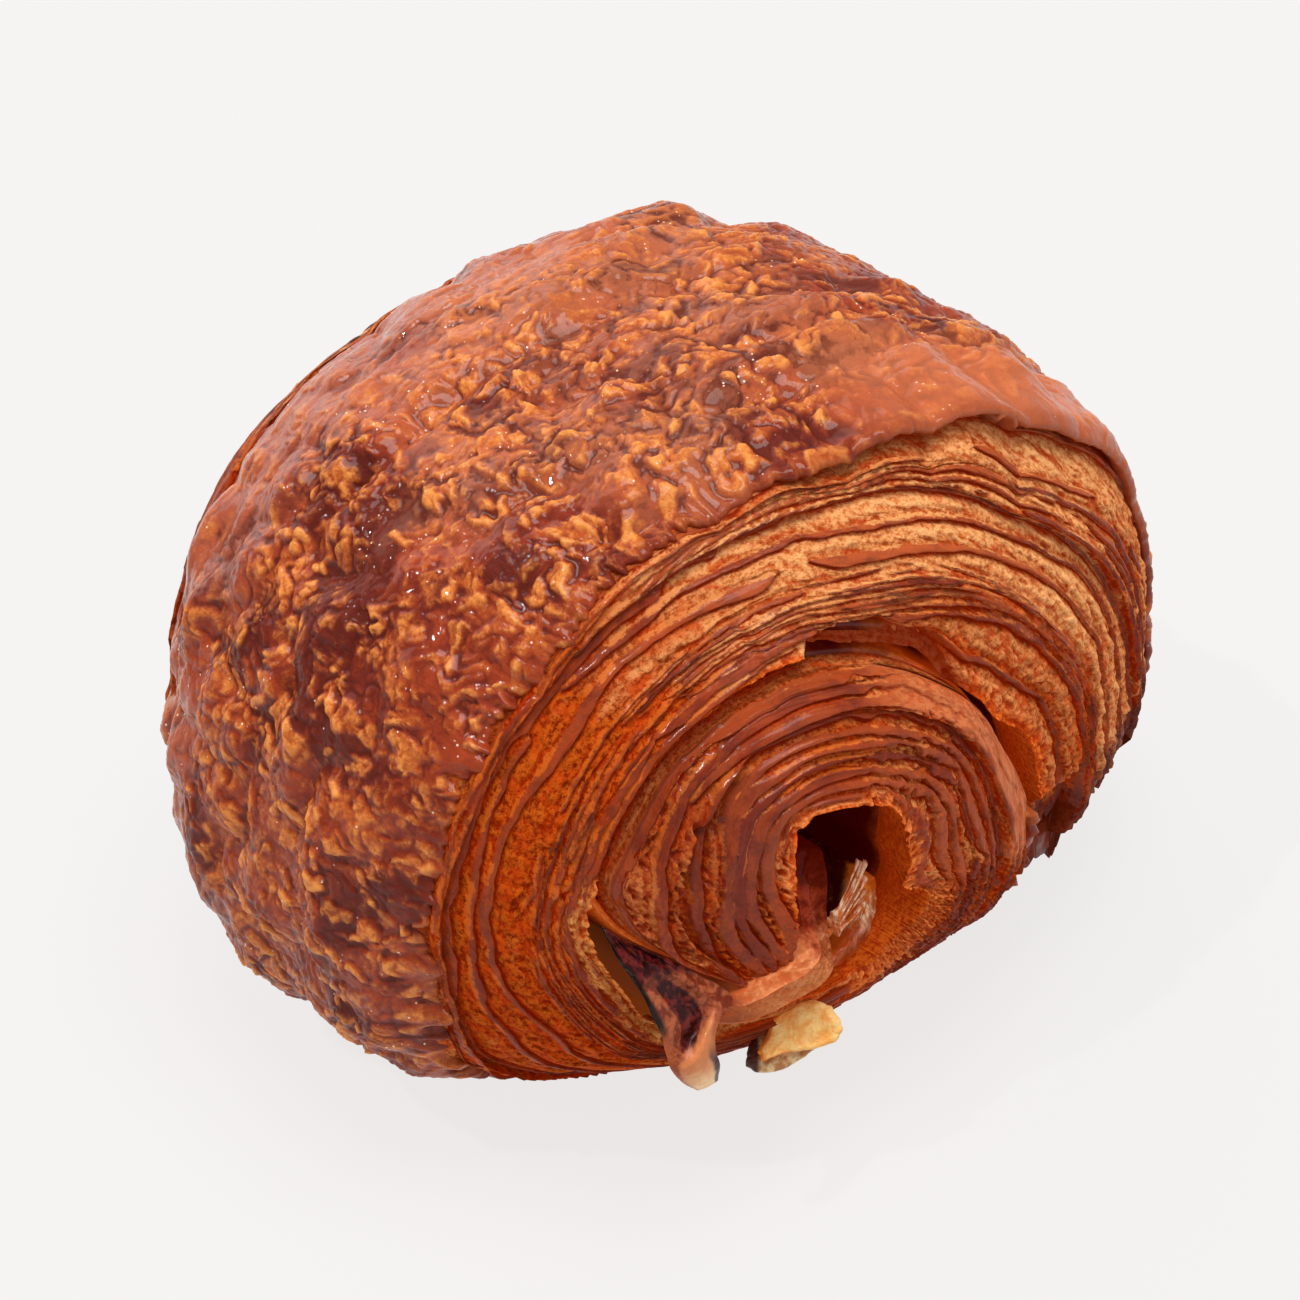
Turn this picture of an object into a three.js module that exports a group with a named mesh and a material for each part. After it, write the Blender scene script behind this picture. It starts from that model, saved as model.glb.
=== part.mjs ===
// A ham and cheese pastry: one strip of laminated dough, rolled up one and two thirds times round a slice of ham
// and some cheese, proved and baked. The dough's two ends, front and back, show the cut edges of its layers, and
// its outside is a blistered, glazed crust.
//
// Millimetres. +Z is up and z = 0 is the flat base that it rests on. The roll's axis runs along Y, the end that
// shows the filling faces -Y, and X runs across the roll. The origin is on the base, under the middle of the roll.
import * as THREE from "three";
import { mergeVertices } from "three/addons/utils/BufferGeometryUtils.js";

// Driving dimensions of the whole roll.
const halfWidth = 53;
const height = 76.8;
const beltHeight = 27.7; // height of the widest level
const baseCut = 2.2; // how much of the round underside the flat base takes away
const upperPower = 2.2; // squareness of the section above the belt, 2 being an ellipse
const lowerPower = 2.65; // and below it
const core = { x: -10.9, z: 32.4 }; // the line that the dough is rolled round
const crustReach = { front: 27.1, back: 26.9 }; // from the middle to the edge of the crust
const endBulge = { front: 22.3, back: 23 }; // how far the rolled core stands out past that edge
const endPower = 2.4; // how late the end's dome falls away from the core
const endScale = 0.904; // section at the edge of the crust, against the middle of the roll
const bellyPower = 3.46;
const backTaper = 0.035; // and how much more the back end narrows
const lean = 0.086; // the front end leans out towards its top
const skew = 0.069; // and towards +X
const undercut = { below: 24, depth: 6.5 }; // both ends tuck in under the core

// The dough strip, from its outer tail to its inner tongue. Angles are degrees round the core line, counted on
// past 360 for the second turn. Reach is the share of the way from the core line to the crust's edge.
const tailAngle = -22;
const secondTurn = 338;
const tongueAngle = 555;
const tailCut = { from: 20, outer: 10, inner: -3 }; // degrees by which the slanting cut moves the tail's two faces
const outerReach = [
  [-22, 1], [270, 1], [285, 0.98], [300, 0.9], [315, 0.7], [330, 0.49], [345, 0.425], [375, 0.4],
  [405, 0.472], [435, 0.6], [465, 0.688], [495, 0.715], [519, 0.715], [527, 0.66], [535, 0.58], [543, 0.49], [551, 0.415], [555, 0.37],
];
const innerReach = [
  [-22, 0.46], [0, 0.435], [20, 0.434], [40, 0.485], [55, 0.545], [75, 0.628], [90, 0.692], [105, 0.716],
  [130, 0.742], [165, 0.74], [186, 0.66], [205, 0.575], [216, 0.44], [228, 0.335], [250, 0.29], [300, 0.205],
  [360, 0.118], [405, 0.205], [435, 0.27], [475, 0.37], [500, 0.3], [530, 0.25], [555, 0.285],
];

// Layers of the dough, counted from its inner face. Each line says how far into the strip's thickness the marked
// layers lie at one angle: wide pale bands beside groups of thin dark edges.
const layerCount = 20;
const layerMarks = [0, 2, 11, 12, 14, 19, 20];
const layerShare = [
  [-22, [0, 0.25, 0.34, 0.46, 0.71, 0.86, 1]],
  [35, [0, 0.27, 0.36, 0.46, 0.63, 0.82, 1]],
  [65, [0, 0.205, 0.42, 0.53, 0.77, 0.89, 1]],
  [90, [0, 0.17, 0.43, 0.59, 0.84, 0.95, 1]],
  [150, [0, 0.13, 0.43, 0.71, 0.93, 0.98, 1]],
  [180, [0, 0.21, 0.46, 0.69, 0.94, 0.98, 1]],
  [200, [0, 0.12, 0.36, 0.52, 0.9, 0.96, 1]],
  [250, [0, 0.1, 0.55, 0.6, 0.7, 0.95, 1]],
  [555, [0, 0.1, 0.55, 0.6, 0.7, 0.95, 1]],
];

// How far each layer's edge stands out of the end's dome, as [layer, millimetres] from the inner face outwards.
const frontRelief = [
  [0, 0.2], [0.9, -0.5], [1.1, 0.6], [1.9, -0.6], [2.3, 0.9], [4, -0.5], [5.2, 0.8], [6.6, -0.5], [7.8, 0.8],
  [9.2, -0.5], [10.8, 0.9], [11.2, -0.5], [11.8, 0.1], [12.1, 0.5], [13.5, -0.6], [14, -1.1], [14.3, 1.1],
  [17, 0.3], [19, 0.9], [19.3, 0.1], [19.9, -0.5], [20, 0.3],
];
const backRelief = [
  [0, 0.2], [1.9, -0.6], [2.3, 0.9], [6.6, -0.5], [10.8, 0.9], [11.8, -0.4], [13.6, -0.9], [14.3, 1.1],
  [18, 0.3], [20, 0.3],
];

// The crust: blisters, slow waves, and the flap of crust that overhangs the front end's upper right.
const blisterHeight = 1.2;
const waveHeight = 0.9;
const flap = { from: 14, to: 84, overhang: 2.3, lift: 1.1 };

// The filling. Paths are [x, z] points across the roll at the crust's edge size.
const hamThickness = 3.1;
const hamPath = [[-12.6, 36], [-14.3, 33], [-16.6, 29.9], [-19.6, 27.5], [-23.2, 26.4], [-27, 26], [-30.6, 28]];
const hamReach = { front: [[0, 0.9], [0.3, 0.97], [0.5, 1.02], [0.8, 1], [1, 0.97]], back: 0.99 }; // share of the dome's depth
const cheeseThickness = 1.9;
const cheesePath = [[-15.4, 25.4], [-12.6, 25.2], [-9.8, 26.1], [-7.6, 27.9], [-6.4, 30.4]];
const cheeseReach = { front: [[0, 0.975], [0.4, 0.96], [1, 0.9]], back: 0.95 };

// The dried end of a second ham slice, which hangs out of the dough: [x, y, z] down its middle, with its width.
const curlLine = [
  [-37.2, -42.2, 39.6, 2.2], [-35.3, -43.8, 36.4, 6.2], [-33.3, -45.2, 32.8, 9.4], [-33, -46.4, 29.6, 8.6],
  [-33.2, -47, 26, 6.8], [-32.8, -46.9, 22.6, 5.6], [-31.9, -46.3, 19.2, 4.4],
];
const curlThickness = 1.5;
const curlGutter = 1.3; // how far its two sides bend forwards

// The piece of cheese that ran out and baked crisp.
const crisp = { centre: [-20.4, -47.9, 18.6], length: 10.6, width: 6.6, thickness: 2.7, tilt: 33 };

const degrees = Math.PI / 180;
const lerp = (a, b, f) => a + (b - a) * f;
const clamp = (x, low, high) => Math.min(high, Math.max(low, x));
const steps = (low, high, count) => Array.from({ length: count + 1 }, (_, i) => lerp(low, high, i / count));

// A smooth curve through [position, value] pairs that doesn't swing past them (Fritsch and Carlson's slopes).
function curveThrough(pairs) {
  const n = pairs.length;
  const secant = (i) => (pairs[i + 1][1] - pairs[i][1]) / (pairs[i + 1][0] - pairs[i][0]);
  const slope = pairs.map((_, i) => {
    if (i === 0 || i === n - 1) return i === 0 ? secant(0) : secant(n - 2);
    const [before, after] = [secant(i - 1), secant(i)];
    return before * after <= 0 ? 0 : (2 * before * after) / (before + after);
  });
  return (x) => {
    let i = 0;
    while (i < n - 2 && x > pairs[i + 1][0]) i += 1;
    const width = pairs[i + 1][0] - pairs[i][0];
    const f = clamp((x - pairs[i][0]) / width, 0, 1);
    const [f2, f3] = [f * f, f * f * f];
    return (
      pairs[i][1] * (2 * f3 - 3 * f2 + 1) + pairs[i + 1][1] * (3 * f2 - 2 * f3) +
      width * (slope[i] * (f3 - 2 * f2 + f) + slope[i + 1] * (f3 - f2))
    );
  };
}
const outerAt = curveThrough(outerReach);
const innerAt = curveThrough(innerReach);

// The section's outline at the crust's edge: a superellipse with a deeper, squarer lower half, as its distance
// from the core line at each angle.
function outlinePoint(phi) {
  const [c, s] = [Math.cos(phi), Math.sin(phi)];
  const power = s >= 0 ? upperPower : lowerPower;
  const rise = s >= 0 ? (height - beltHeight) * endScale : (beltHeight + baseCut) * endScale;
  return {
    x: halfWidth * endScale * Math.sign(c) * Math.abs(c) ** (2 / power),
    z: beltHeight + rise * Math.sign(s) * Math.abs(s) ** (2 / power),
  };
}
const outlineTable = steps(-Math.PI, Math.PI, 720)
  .map((phi) => outlinePoint(phi))
  .map(({ x, z }) => [Math.atan2(z - core.z, x - core.x), Math.hypot(x - core.x, z - core.z)])
  .sort((a, b) => a[0] - b[0]);
outlineTable.unshift([outlineTable.at(-1)[0] - 2 * Math.PI, outlineTable.at(-1)[1]]);
outlineTable.push([outlineTable[1][0] + 2 * Math.PI, outlineTable[1][1]]);

function outlineRadius(angle) {
  const a = Math.atan2(Math.sin(angle), Math.cos(angle));
  const next = outlineTable.findIndex((row) => row[0] > a);
  const [low, high] = [outlineTable[next - 1], outlineTable[next]];
  return lerp(low[1], high[1], (a - low[0]) / (high[0] - low[0]));
}

// Places a point of the section along the roll: v is -1 on the front end's surface, 0 in the middle and 1 on the
// back end's surface. The ends are domes that tuck in below, and the roll swells between them.
function placed(x, z, v) {
  const angle = Math.atan2(z - core.z, x - core.x);
  const rim = outlineRadius(angle);
  const reach = clamp(Math.hypot(x - core.x, z - core.z) / rim, 0, 1.1);
  const rimX = core.x + rim * Math.cos(angle);
  const rimZ = core.z + rim * Math.sin(angle);
  const front = v < 0;
  const edge = crustReach[front ? "front" : "back"];
  const atRim = front ? edge + lean * (rimZ - beltHeight) + skew * rimX : edge;
  const atCore = edge + endBulge[front ? "front" : "back"];
  const tuck = undercut.depth * clamp((undercut.below - z) / undercut.below, 0, 1) ** 1.6;
  const depth = lerp(atCore, atRim, reach ** endPower) - tuck;
  const taper = v > 0 ? backTaper * v * v : 0;
  const swell = (1 - (1 - endScale) * Math.min(1, Math.abs(v)) ** bellyPower) / endScale - taper;
  return new THREE.Vector3(x * swell, v * depth, beltHeight + (z - beltHeight) * swell);
}

// Smooth noise from -1 to 1 on a lattice of hashed values.
function hashed(i, j) {
  const s = Math.sin(i * 127.1 + j * 311.7) * 43758.5453;
  return 2 * (s - Math.floor(s)) - 1;
}
function noise(x, y) {
  const [i, j] = [Math.floor(x), Math.floor(y)];
  const ease = (f) => f * f * (3 - 2 * f);
  const [fx, fy] = [ease(x - i), ease(y - j)];
  const row = (k) => lerp(hashed(i, k), hashed(i + 1, k), fx);
  return lerp(row(j), row(j + 1), fy);
}

// Where the layer numbered n lies across the strip, from 0 on its inner face to 1 on its outer face.
const shareCurves = layerMarks.map((_, k) => curveThrough(layerShare.map(([angle, shares]) => [angle, shares[k]])));
function layerPosition(n, angle) {
  const k = Math.max(1, layerMarks.findIndex((mark) => mark >= n));
  const f = (n - layerMarks[k - 1]) / (layerMarks[k] - layerMarks[k - 1]);
  return lerp(shareCurves[k - 1](angle), shareCurves[k](angle), f);
}

// A point of the dough: angle in degrees along the strip, n the layer, v along the roll. The edges of the layers
// stand out of both ends, and the outermost layer carries the crust's relief.
const frontEdge = curveThrough(frontRelief);
const backEdge = curveThrough(backRelief);
function doughPoint(turn, n, v) {
  const slant = lerp(tailCut.inner, tailCut.outer, n / layerCount);
  const angle = turn + slant * clamp((tailCut.from - turn) / (tailCut.from - tailAngle), 0, 1) ** 2;
  const reach = lerp(innerAt(angle), outerAt(angle), layerPosition(n, angle));
  const radius = reach * outlineRadius(angle * degrees);
  const p = placed(core.x + radius * Math.cos(angle * degrees), core.z + radius * Math.sin(angle * degrees), v);
  const out = new THREE.Vector3(p.x, 0, p.z - beltHeight).normalize();
  const flapped = v < -0.6 ? Math.sin(Math.PI * clamp((angle - flap.from) / (flap.to - flap.from), 0, 1)) ** 0.6 : 0;
  if (n === layerCount) {
    const crusted = clamp((outerAt(angle) - 0.55) / 0.3, 0, 1);
    const across = angle * degrees * 42; // millimetres round the crust
    const blisters = Math.abs(noise(across / 9, p.y / 6)) * 1.6 - 0.5 + 0.5 * noise(across / 4.5, p.y / 3.4);
    const waves = noise(across / 24 + 7, p.y / 17);
    const lifted = flap.lift * flapped * clamp((-v - 0.6) / 0.4, 0, 1) ** 2;
    p.addScaledVector(out, crusted * (blisterHeight * blisters + waveHeight * waves + lifted));
  }
  if (Math.abs(v) === 1) {
    const uneven = 0.75 + 0.5 * noise(angle / 17 + n, n * 3.1);
    const edge = (v < 0 ? frontEdge : backEdge)(n) * uneven + 0.5 * noise(angle / 30, n * 0.4);
    p.y += v * (edge + (n === layerCount ? flap.overhang * flapped : 0));
  }
  p.z = Math.max(0, p.z);
  return p;
}

// Triangles between neighbouring rows of points, less those that a shared point leaves without a side.
function sheet(points, flip) {
  const triangles = [];
  for (let i = 0; i < points.length - 1; i += 1) {
    for (let j = 0; j < points[i].length - 1; j += 1) {
      const [a, b, c, d] = [points[i][j], points[i + 1][j], points[i + 1][j + 1], points[i][j + 1]];
      if (a !== b) triangles.push(...(flip ? [a, b, c] : [a, c, b]));
      if (c !== d) triangles.push(...(flip ? [a, c, d] : [a, d, c]));
    }
  }
  return triangles;
}

// A closed border, filled by triangles from its middle.
function cap(border, flip) {
  const middle = border.reduce((sum, p) => sum.add(p), new THREE.Vector3()).divideScalar(border.length);
  return border.flatMap((p, i) => {
    const q = border[(i + 1) % border.length];
    return flip ? [middle, p, q] : [middle, q, p];
  });
}

// A named mesh from a closed list of triangles' corners, turned so that its faces point outwards.
function meshOf(name, corners, colour, roughness) {
  let volume = 0;
  for (let i = 0; i < corners.length; i += 3) {
    volume += corners[i].dot(new THREE.Vector3().crossVectors(corners[i + 1], corners[i + 2]));
  }
  const outwards = volume > 0 ? corners : [...corners].reverse();
  const merged = mergeVertices(new THREE.BufferGeometry().setFromPoints(outwards), 1e-3);
  merged.computeVertexNormals();
  const mesh = new THREE.Mesh(merged, new THREE.MeshStandardMaterial({ color: colour, roughness, metalness: 0 }));
  mesh.name = name;
  return mesh;
}

// The dough strip: its outer and inner faces, the layered ends of the roll, and the two ends of the strip.
function doughMesh() {
  const turns = [...steps(tailAngle, secondTurn, 82), ...steps(secondTurn, tongueAngle, 36).slice(1)];
  const crustRows = steps(-1, 1, 14);
  const insideRows = steps(-1, 1, 4);
  const rowsOf = (list, at) => turns.map((angle) => list.map((item) => at(angle, item)));
  const front = rowsOf(frontRelief, (angle, [n]) => doughPoint(angle, n, -1));
  const back = rowsOf(backRelief, (angle, [n]) => doughPoint(angle, n, 1));
  const crust = rowsOf(crustRows, (angle, v) => doughPoint(angle, layerCount, v));
  const inside = rowsOf(insideRows, (angle, v) => doughPoint(angle, 0, v));
  const borderAt = (i) => [
    ...front[i],
    ...crust[i].slice(1, -1),
    ...[...back[i]].reverse(),
    ...inside[i].slice(1, -1).reverse(),
  ];
  return meshOf(
    "pastry_roll",
    [
      ...sheet(front, false),
      ...sheet(back, true),
      ...sheet(crust, false),
      ...sheet(inside, true),
      ...cap(borderAt(0), false),
      ...cap(borderAt(turns.length - 1), true),
    ],
    0xb5622f,
    0.45,
  );
}

// A slice with rounded edges that follows a path across the roll and runs through it from front to back.
function sliceMesh(name, path, thickness, reach, colour, roughness) {
  const line = new THREE.CatmullRomCurve3(path.map(([x, z]) => new THREE.Vector3(x, 0, z)), false, "centripetal");
  const around = 28;
  const along = 8;
  const frontShare = curveThrough(reach.front);
  const loopPoint = (k, run) => {
    const turn = (2 * Math.PI * k) / around;
    const s = (1 - Math.cos(turn)) / 2;
    const v = run * (run < 0 ? frontShare(s) : reach.back);
    const p = line.getPointAt(s);
    const t = line.getTangentAt(s);
    const off = (thickness / 2) * Math.sign(Math.sin(turn)) * Math.abs(Math.sin(turn)) ** 0.35;
    const wave = 0.12 * thickness * noise(9 * s, 5 * v);
    return placed(p.x - t.z * (off + wave), p.z + t.x * (off + wave), v);
  };
  const loops = steps(-1, 1, along).map((run) => {
    return Array.from({ length: around }, (_, k) => loopPoint(k, run));
  });
  const wrapped = loops.map((loop) => [...loop, loop[0]]);
  const wrappedHalf = (loop, way) => steps(0, around / 2, around / 2).map((k) => loop[(around + way * k) % around]);
  const end = (loop, flip) => sheet([wrappedHalf(loop, 1), wrappedHalf(loop, -1)], flip);
  const triangles = [...sheet(wrapped, true), ...end(loops[0], false), ...end(loops.at(-1), true)];
  return meshOf(name, triangles, colour, roughness);
}

// The dried curl: a narrow gutter of ham along its line, thinner at its sides and rounded at its tip.
function curlMesh() {
  const line = new THREE.CatmullRomCurve3(curlLine.map(([x, y, z]) => new THREE.Vector3(x, y, z)));
  const widths = curveThrough(curlLine.map(([, , , w], i) => [i / (curlLine.length - 1), w]));
  const across = new THREE.Vector3(0.83, -0.56, 0).normalize();
  const around = 20;
  const loops = steps(0, 1, 12).map((s) => {
    const p = line.getPoint(s);
    const t = line.getTangent(s);
    const side = across.clone().addScaledVector(t, -across.dot(t)).normalize();
    const normal = new THREE.Vector3().crossVectors(side, t).normalize();
    const close = Math.min(1, 3.2 * (1 - s)) ** 0.5 * 0.72 + 0.28;
    return Array.from({ length: around }, (_, k) => {
      const turn = (2 * Math.PI * k) / around;
      const u = Math.cos(turn);
      const rise = curlGutter * u * u + (curlThickness / 2) * Math.sin(turn) * (1 - 0.3 * u * u);
      return p.clone().addScaledVector(side, (widths(s) / 2) * close * u).addScaledVector(normal, rise * close);
    });
  });
  const wrapped = loops.map((loop) => [...loop, loop[0]]);
  const triangles = [...sheet(wrapped, true), ...cap(loops[0], true), ...cap(loops.at(-1), false)];
  return meshOf("ham_curl", triangles, 0x5a2a26, 0.35);
}

// The crisp: a flat lump with an uneven edge, which leans against the front of the roll.
function crispMesh() {
  const [around, levels] = [18, 6];
  const turnTo = new THREE.Matrix4().makeBasis(
    new THREE.Vector3(Math.cos(crisp.tilt * degrees) * 0.88, -0.42, Math.sin(crisp.tilt * degrees) * 0.88).normalize(),
    new THREE.Vector3(-0.3, 0.1, 0.95).normalize(),
    new THREE.Vector3(-0.45, -0.86, -0.1).normalize(),
  );
  const at = (turn, level) => {
    const ring = Math.abs(Math.sin(level)) ** 0.55;
    const uneven = 1 + 0.1 * noise(3 * Math.cos(turn) + 5, 3 * Math.sin(turn));
    return new THREE.Vector3(
      (crisp.length / 2) * ring * uneven * Math.cos(turn),
      (crisp.width / 2) * ring * uneven * Math.sin(turn),
      (crisp.thickness / 2) * -Math.cos(level) * (1 + 0.2 * noise(Math.cos(turn) * 2, Math.sin(turn) * 2 + 9)),
    ).applyMatrix4(turnTo).add(new THREE.Vector3(...crisp.centre));
  };
  const loops = steps(0.25, Math.PI - 0.25, levels).map((level) => {
    return Array.from({ length: around }, (_, k) => at((2 * Math.PI * k) / around, level));
  });
  const wrapped = loops.map((loop) => [...loop, loop[0]]);
  const triangles = [...sheet(wrapped, true), ...cap(loops[0], true), ...cap(loops.at(-1), false)];
  return meshOf("cheese_crisp", triangles, 0xe4a856, 0.6);
}

const pastry = new THREE.Group();
pastry.add(
  doughMesh(),
  sliceMesh("ham_slice", hamPath, hamThickness, hamReach, 0xce7b5e, 0.35),
  sliceMesh("cheese_melt", cheesePath, cheeseThickness, cheeseReach, 0xe0a45c, 0.4),
  curlMesh(),
  crispMesh(),
);

export default pastry;
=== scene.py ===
import math

import bpy
import numpy as np
from mathutils import Matrix, Vector


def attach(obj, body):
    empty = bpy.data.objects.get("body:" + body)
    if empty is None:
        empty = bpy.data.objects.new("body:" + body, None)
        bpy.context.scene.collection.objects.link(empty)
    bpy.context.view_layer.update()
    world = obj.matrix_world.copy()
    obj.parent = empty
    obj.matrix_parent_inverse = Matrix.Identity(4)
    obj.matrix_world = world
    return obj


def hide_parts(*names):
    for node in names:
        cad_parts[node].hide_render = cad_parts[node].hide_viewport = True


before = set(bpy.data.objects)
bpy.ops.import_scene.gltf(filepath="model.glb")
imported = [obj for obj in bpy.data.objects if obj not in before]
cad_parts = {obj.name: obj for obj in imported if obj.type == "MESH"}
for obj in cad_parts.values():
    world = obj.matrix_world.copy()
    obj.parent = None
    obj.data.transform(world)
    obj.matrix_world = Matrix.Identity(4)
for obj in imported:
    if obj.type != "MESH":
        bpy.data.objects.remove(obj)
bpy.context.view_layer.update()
print("solids loaded")

# Ham and cheese pastry: a strip of laminated dough rolled round ham and cheese, dressed over its solids.
# Shapes are worked out in millimetres and written to the meshes in metres.

camera = {
    "azimuth": 34.139, "elevation": 35.213, "roll": -7.746,  # degrees
    "distance": 402.1, "lookHeight": 38.4,  # mm
    "lens": 101.19, "sensor": 36.0,
    "pictureSide": 1300, "lookPixel": (644.5, 613.6),  # where the look point falls in the picture
}

cameraData = bpy.data.cameras.new("camera")
cameraObject = bpy.data.objects.new("camera", cameraData)
bpy.context.scene.collection.objects.link(cameraObject)
bpy.context.scene.camera = cameraObject
cameraData.lens = camera["lens"]
cameraData.sensor_width = camera["sensor"]
turnA, turnE, turnR = (math.radians(camera[k]) for k in ("azimuth", "elevation", "roll"))
backward = Vector((-math.sin(turnA) * math.cos(turnE), -math.cos(turnA) * math.cos(turnE), math.sin(turnE)))
levelRight = Vector((math.cos(turnA), -math.sin(turnA), 0))
levelUp = backward.cross(levelRight)
right = levelRight * math.cos(turnR) + levelUp * math.sin(turnR)
up = levelUp * math.cos(turnR) - levelRight * math.sin(turnR)
focal = camera["lens"] / camera["sensor"] * camera["pictureSide"]
offCentre = [camera["pictureSide"] / 2 - pixel for pixel in camera["lookPixel"]]
forward = (-backward + right * (offCentre[0] / focal) - up * (offCentre[1] / focal)).normalized()
up = (up - forward * up.dot(forward)).normalized()
right = forward.cross(up)
turned = Matrix((right, up, -forward)).transposed()
cameraObject.rotation_mode = "QUATERNION"
cameraObject.rotation_quaternion = turned.to_quaternion()
cameraObject.location = (Vector((0, 0, camera["lookHeight"])) + backward * camera["distance"]) * 0.001
cameraData.clip_start, cameraData.clip_end = 0.01, 60
print("camera set")


# Numbers and noise

def clamp(x, low=0.0, high=1.0):  # x held between low and high
    return np.minimum(high, np.maximum(low, x))


def smoothStep(low, high, x):  # 0 below low, 1 above high, 3f^2 - 2f^3 between
    f = clamp((x - low) / (high - low))
    return f * f * (3 - 2 * f)


def window(x, start, full, fade, end):  # 0 before start and after end, 1 from full to fade
    return smoothStep(start, full, x) * smoothStep(end, fade, x)


def hump(x, low, high, power):  # sin(pi f)^power, f going from 0 at low to 1 at high
    return np.sin(np.pi * clamp((x - low) / (high - low))) ** power


def blend(a, b, f):  # from a to b as f goes from 0 to 1
    return a + (b - a) * f


def curveThrough(pairs):
    # a cubic through [position, value] pairs that doesn't swing past them: each slope is the harmonic mean of
    # the two secants beside it, or 0 where they change sign
    x = np.array([pair[0] for pair in pairs], float)
    y = np.array([pair[1] for pair in pairs], float)
    secant = np.diff(y) / np.diff(x)
    before, after = secant[:-1], secant[1:]
    total = np.where(before + after == 0, 1, before + after)
    slope = np.concatenate([secant[:1], np.where(before * after <= 0, 0, 2 * before * after / total), secant[-1:]])

    def at(q):
        i = np.clip(np.searchsorted(x, q, side="left") - 1, 0, len(x) - 2)
        width = x[i + 1] - x[i]
        f = clamp((q - x[i]) / width)
        f2, f3 = f * f, f * f * f
        return (y[i] * (2 * f3 - 3 * f2 + 1) + y[i + 1] * (3 * f2 - 2 * f3)
                + width * (slope[i] * (f3 - 2 * f2 + f) + slope[i + 1] * (f3 - f2)))

    return at


def hashed(i, j):  # a number from -1 to 1 for each lattice point
    s = np.sin(i * 127.1 + j * 311.7) * 43758.5453
    return 2 * (s - np.floor(s)) - 1


def noise(x, y):  # lattice values joined by 3f^2 - 2f^3, from -1 to 1
    x, y = np.broadcast_arrays(np.asarray(x, float), np.asarray(y, float))
    i, j = np.floor(x), np.floor(y)
    fx, fy = x - i, y - j
    fx, fy = fx * fx * (3 - 2 * fx), fy * fy * (3 - 2 * fy)
    low = blend(hashed(i, j), hashed(i + 1, j), fx)
    high = blend(hashed(i, j + 1), hashed(i + 1, j + 1), fx)
    return blend(low, high, fy)


def rough(x, y, octaves=3, seed=0.0):  # octaves of noise, each half as wide and 0.55 as high
    total, weights, size, weight = 0, 0, 1.0, 1.0
    for k in range(octaves):
        total = total + weight * noise(x * size + 13.7 * k + seed, y * size - 7.3 * k + seed)
        weights += weight
        size *= 2.03
        weight *= 0.55
    return total / weights


def cells(x, y, seed=0.0):
    # distance to the nearest and second nearest of one random point for each unit square, and the nearest
    # point's own random number
    i, j = np.floor(x), np.floor(y)
    first = np.full(x.shape, 9.0)
    second = np.full(x.shape, 9.0)
    own = np.zeros(x.shape)
    for di in (-1, 0, 1):
        for dj in (-1, 0, 1):
            ci, cj = i + di, j + dj
            px = ci + 0.5 + 0.42 * hashed(ci + seed, cj + 3.1)
            py = cj + 0.5 + 0.42 * hashed(ci + 5.7, cj + seed)
            d = np.hypot(x - px, y - py)
            value = 0.5 + 0.5 * hashed(ci + 11.3, cj - seed)
            nearer = d < first
            second = np.where(nearer, first, np.minimum(second, d))
            own = np.where(nearer, value, own)
            first = np.where(nearer, d, first)
    return first, second, own


def blurred(field, reach):  # mean over 2 reach + 1 neighbours each way
    for axis in (0, 1):
        padding = [(reach + 1, reach) if k == axis else (0, 0) for k in (0, 1)]
        total = np.moveaxis(np.cumsum(np.pad(field, padding, mode="edge"), axis=axis), axis, 0)
        count = 2 * reach + 1
        field = np.moveaxis((total[count:] - total[:-count]) / count, 0, axis)
    return field


# The form of the roll, as its solids have it

roll = {
    "halfWidth": 53, "height": 76.8, "beltHeight": 27.7, "baseCut": 2.2, "upperPower": 2.2, "lowerPower": 2.65,
    "core": (-10.9, 32.4), "crustReach": (27.1, 26.9), "endBulge": (22.3, 23), "endPower": 2.4, "endScale": 0.904,
    "bellyPower": 3.46, "backTaper": 0.035, "lean": 0.086, "skew": 0.069, "undercut": (24, 6.5, 1.6),
    "tailAngle": -22, "secondTurn": 338, "tongueAngle": 555, "layers": 20, "tailCut": (20, 10, -3),
}
outerAt = curveThrough([
    (-22, 1), (270, 1), (285, 0.98), (300, 0.9), (315, 0.7), (330, 0.49), (345, 0.425), (375, 0.4),
    (405, 0.472), (435, 0.6), (465, 0.688), (495, 0.715), (519, 0.715), (527, 0.66), (535, 0.58), (543, 0.49),
    (551, 0.415), (555, 0.37)])
innerAt = curveThrough([
    (-22, 0.46), (0, 0.435), (20, 0.434), (40, 0.485), (55, 0.545), (75, 0.628), (90, 0.692), (105, 0.716),
    (130, 0.742), (165, 0.74), (186, 0.66), (205, 0.575), (216, 0.44), (228, 0.335), (250, 0.29), (300, 0.205),
    (360, 0.118), (405, 0.205), (435, 0.27), (475, 0.37), (500, 0.3), (530, 0.25), (555, 0.285)])
layerMarks = (0, 2, 11, 12, 14, 19, 20)
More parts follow.
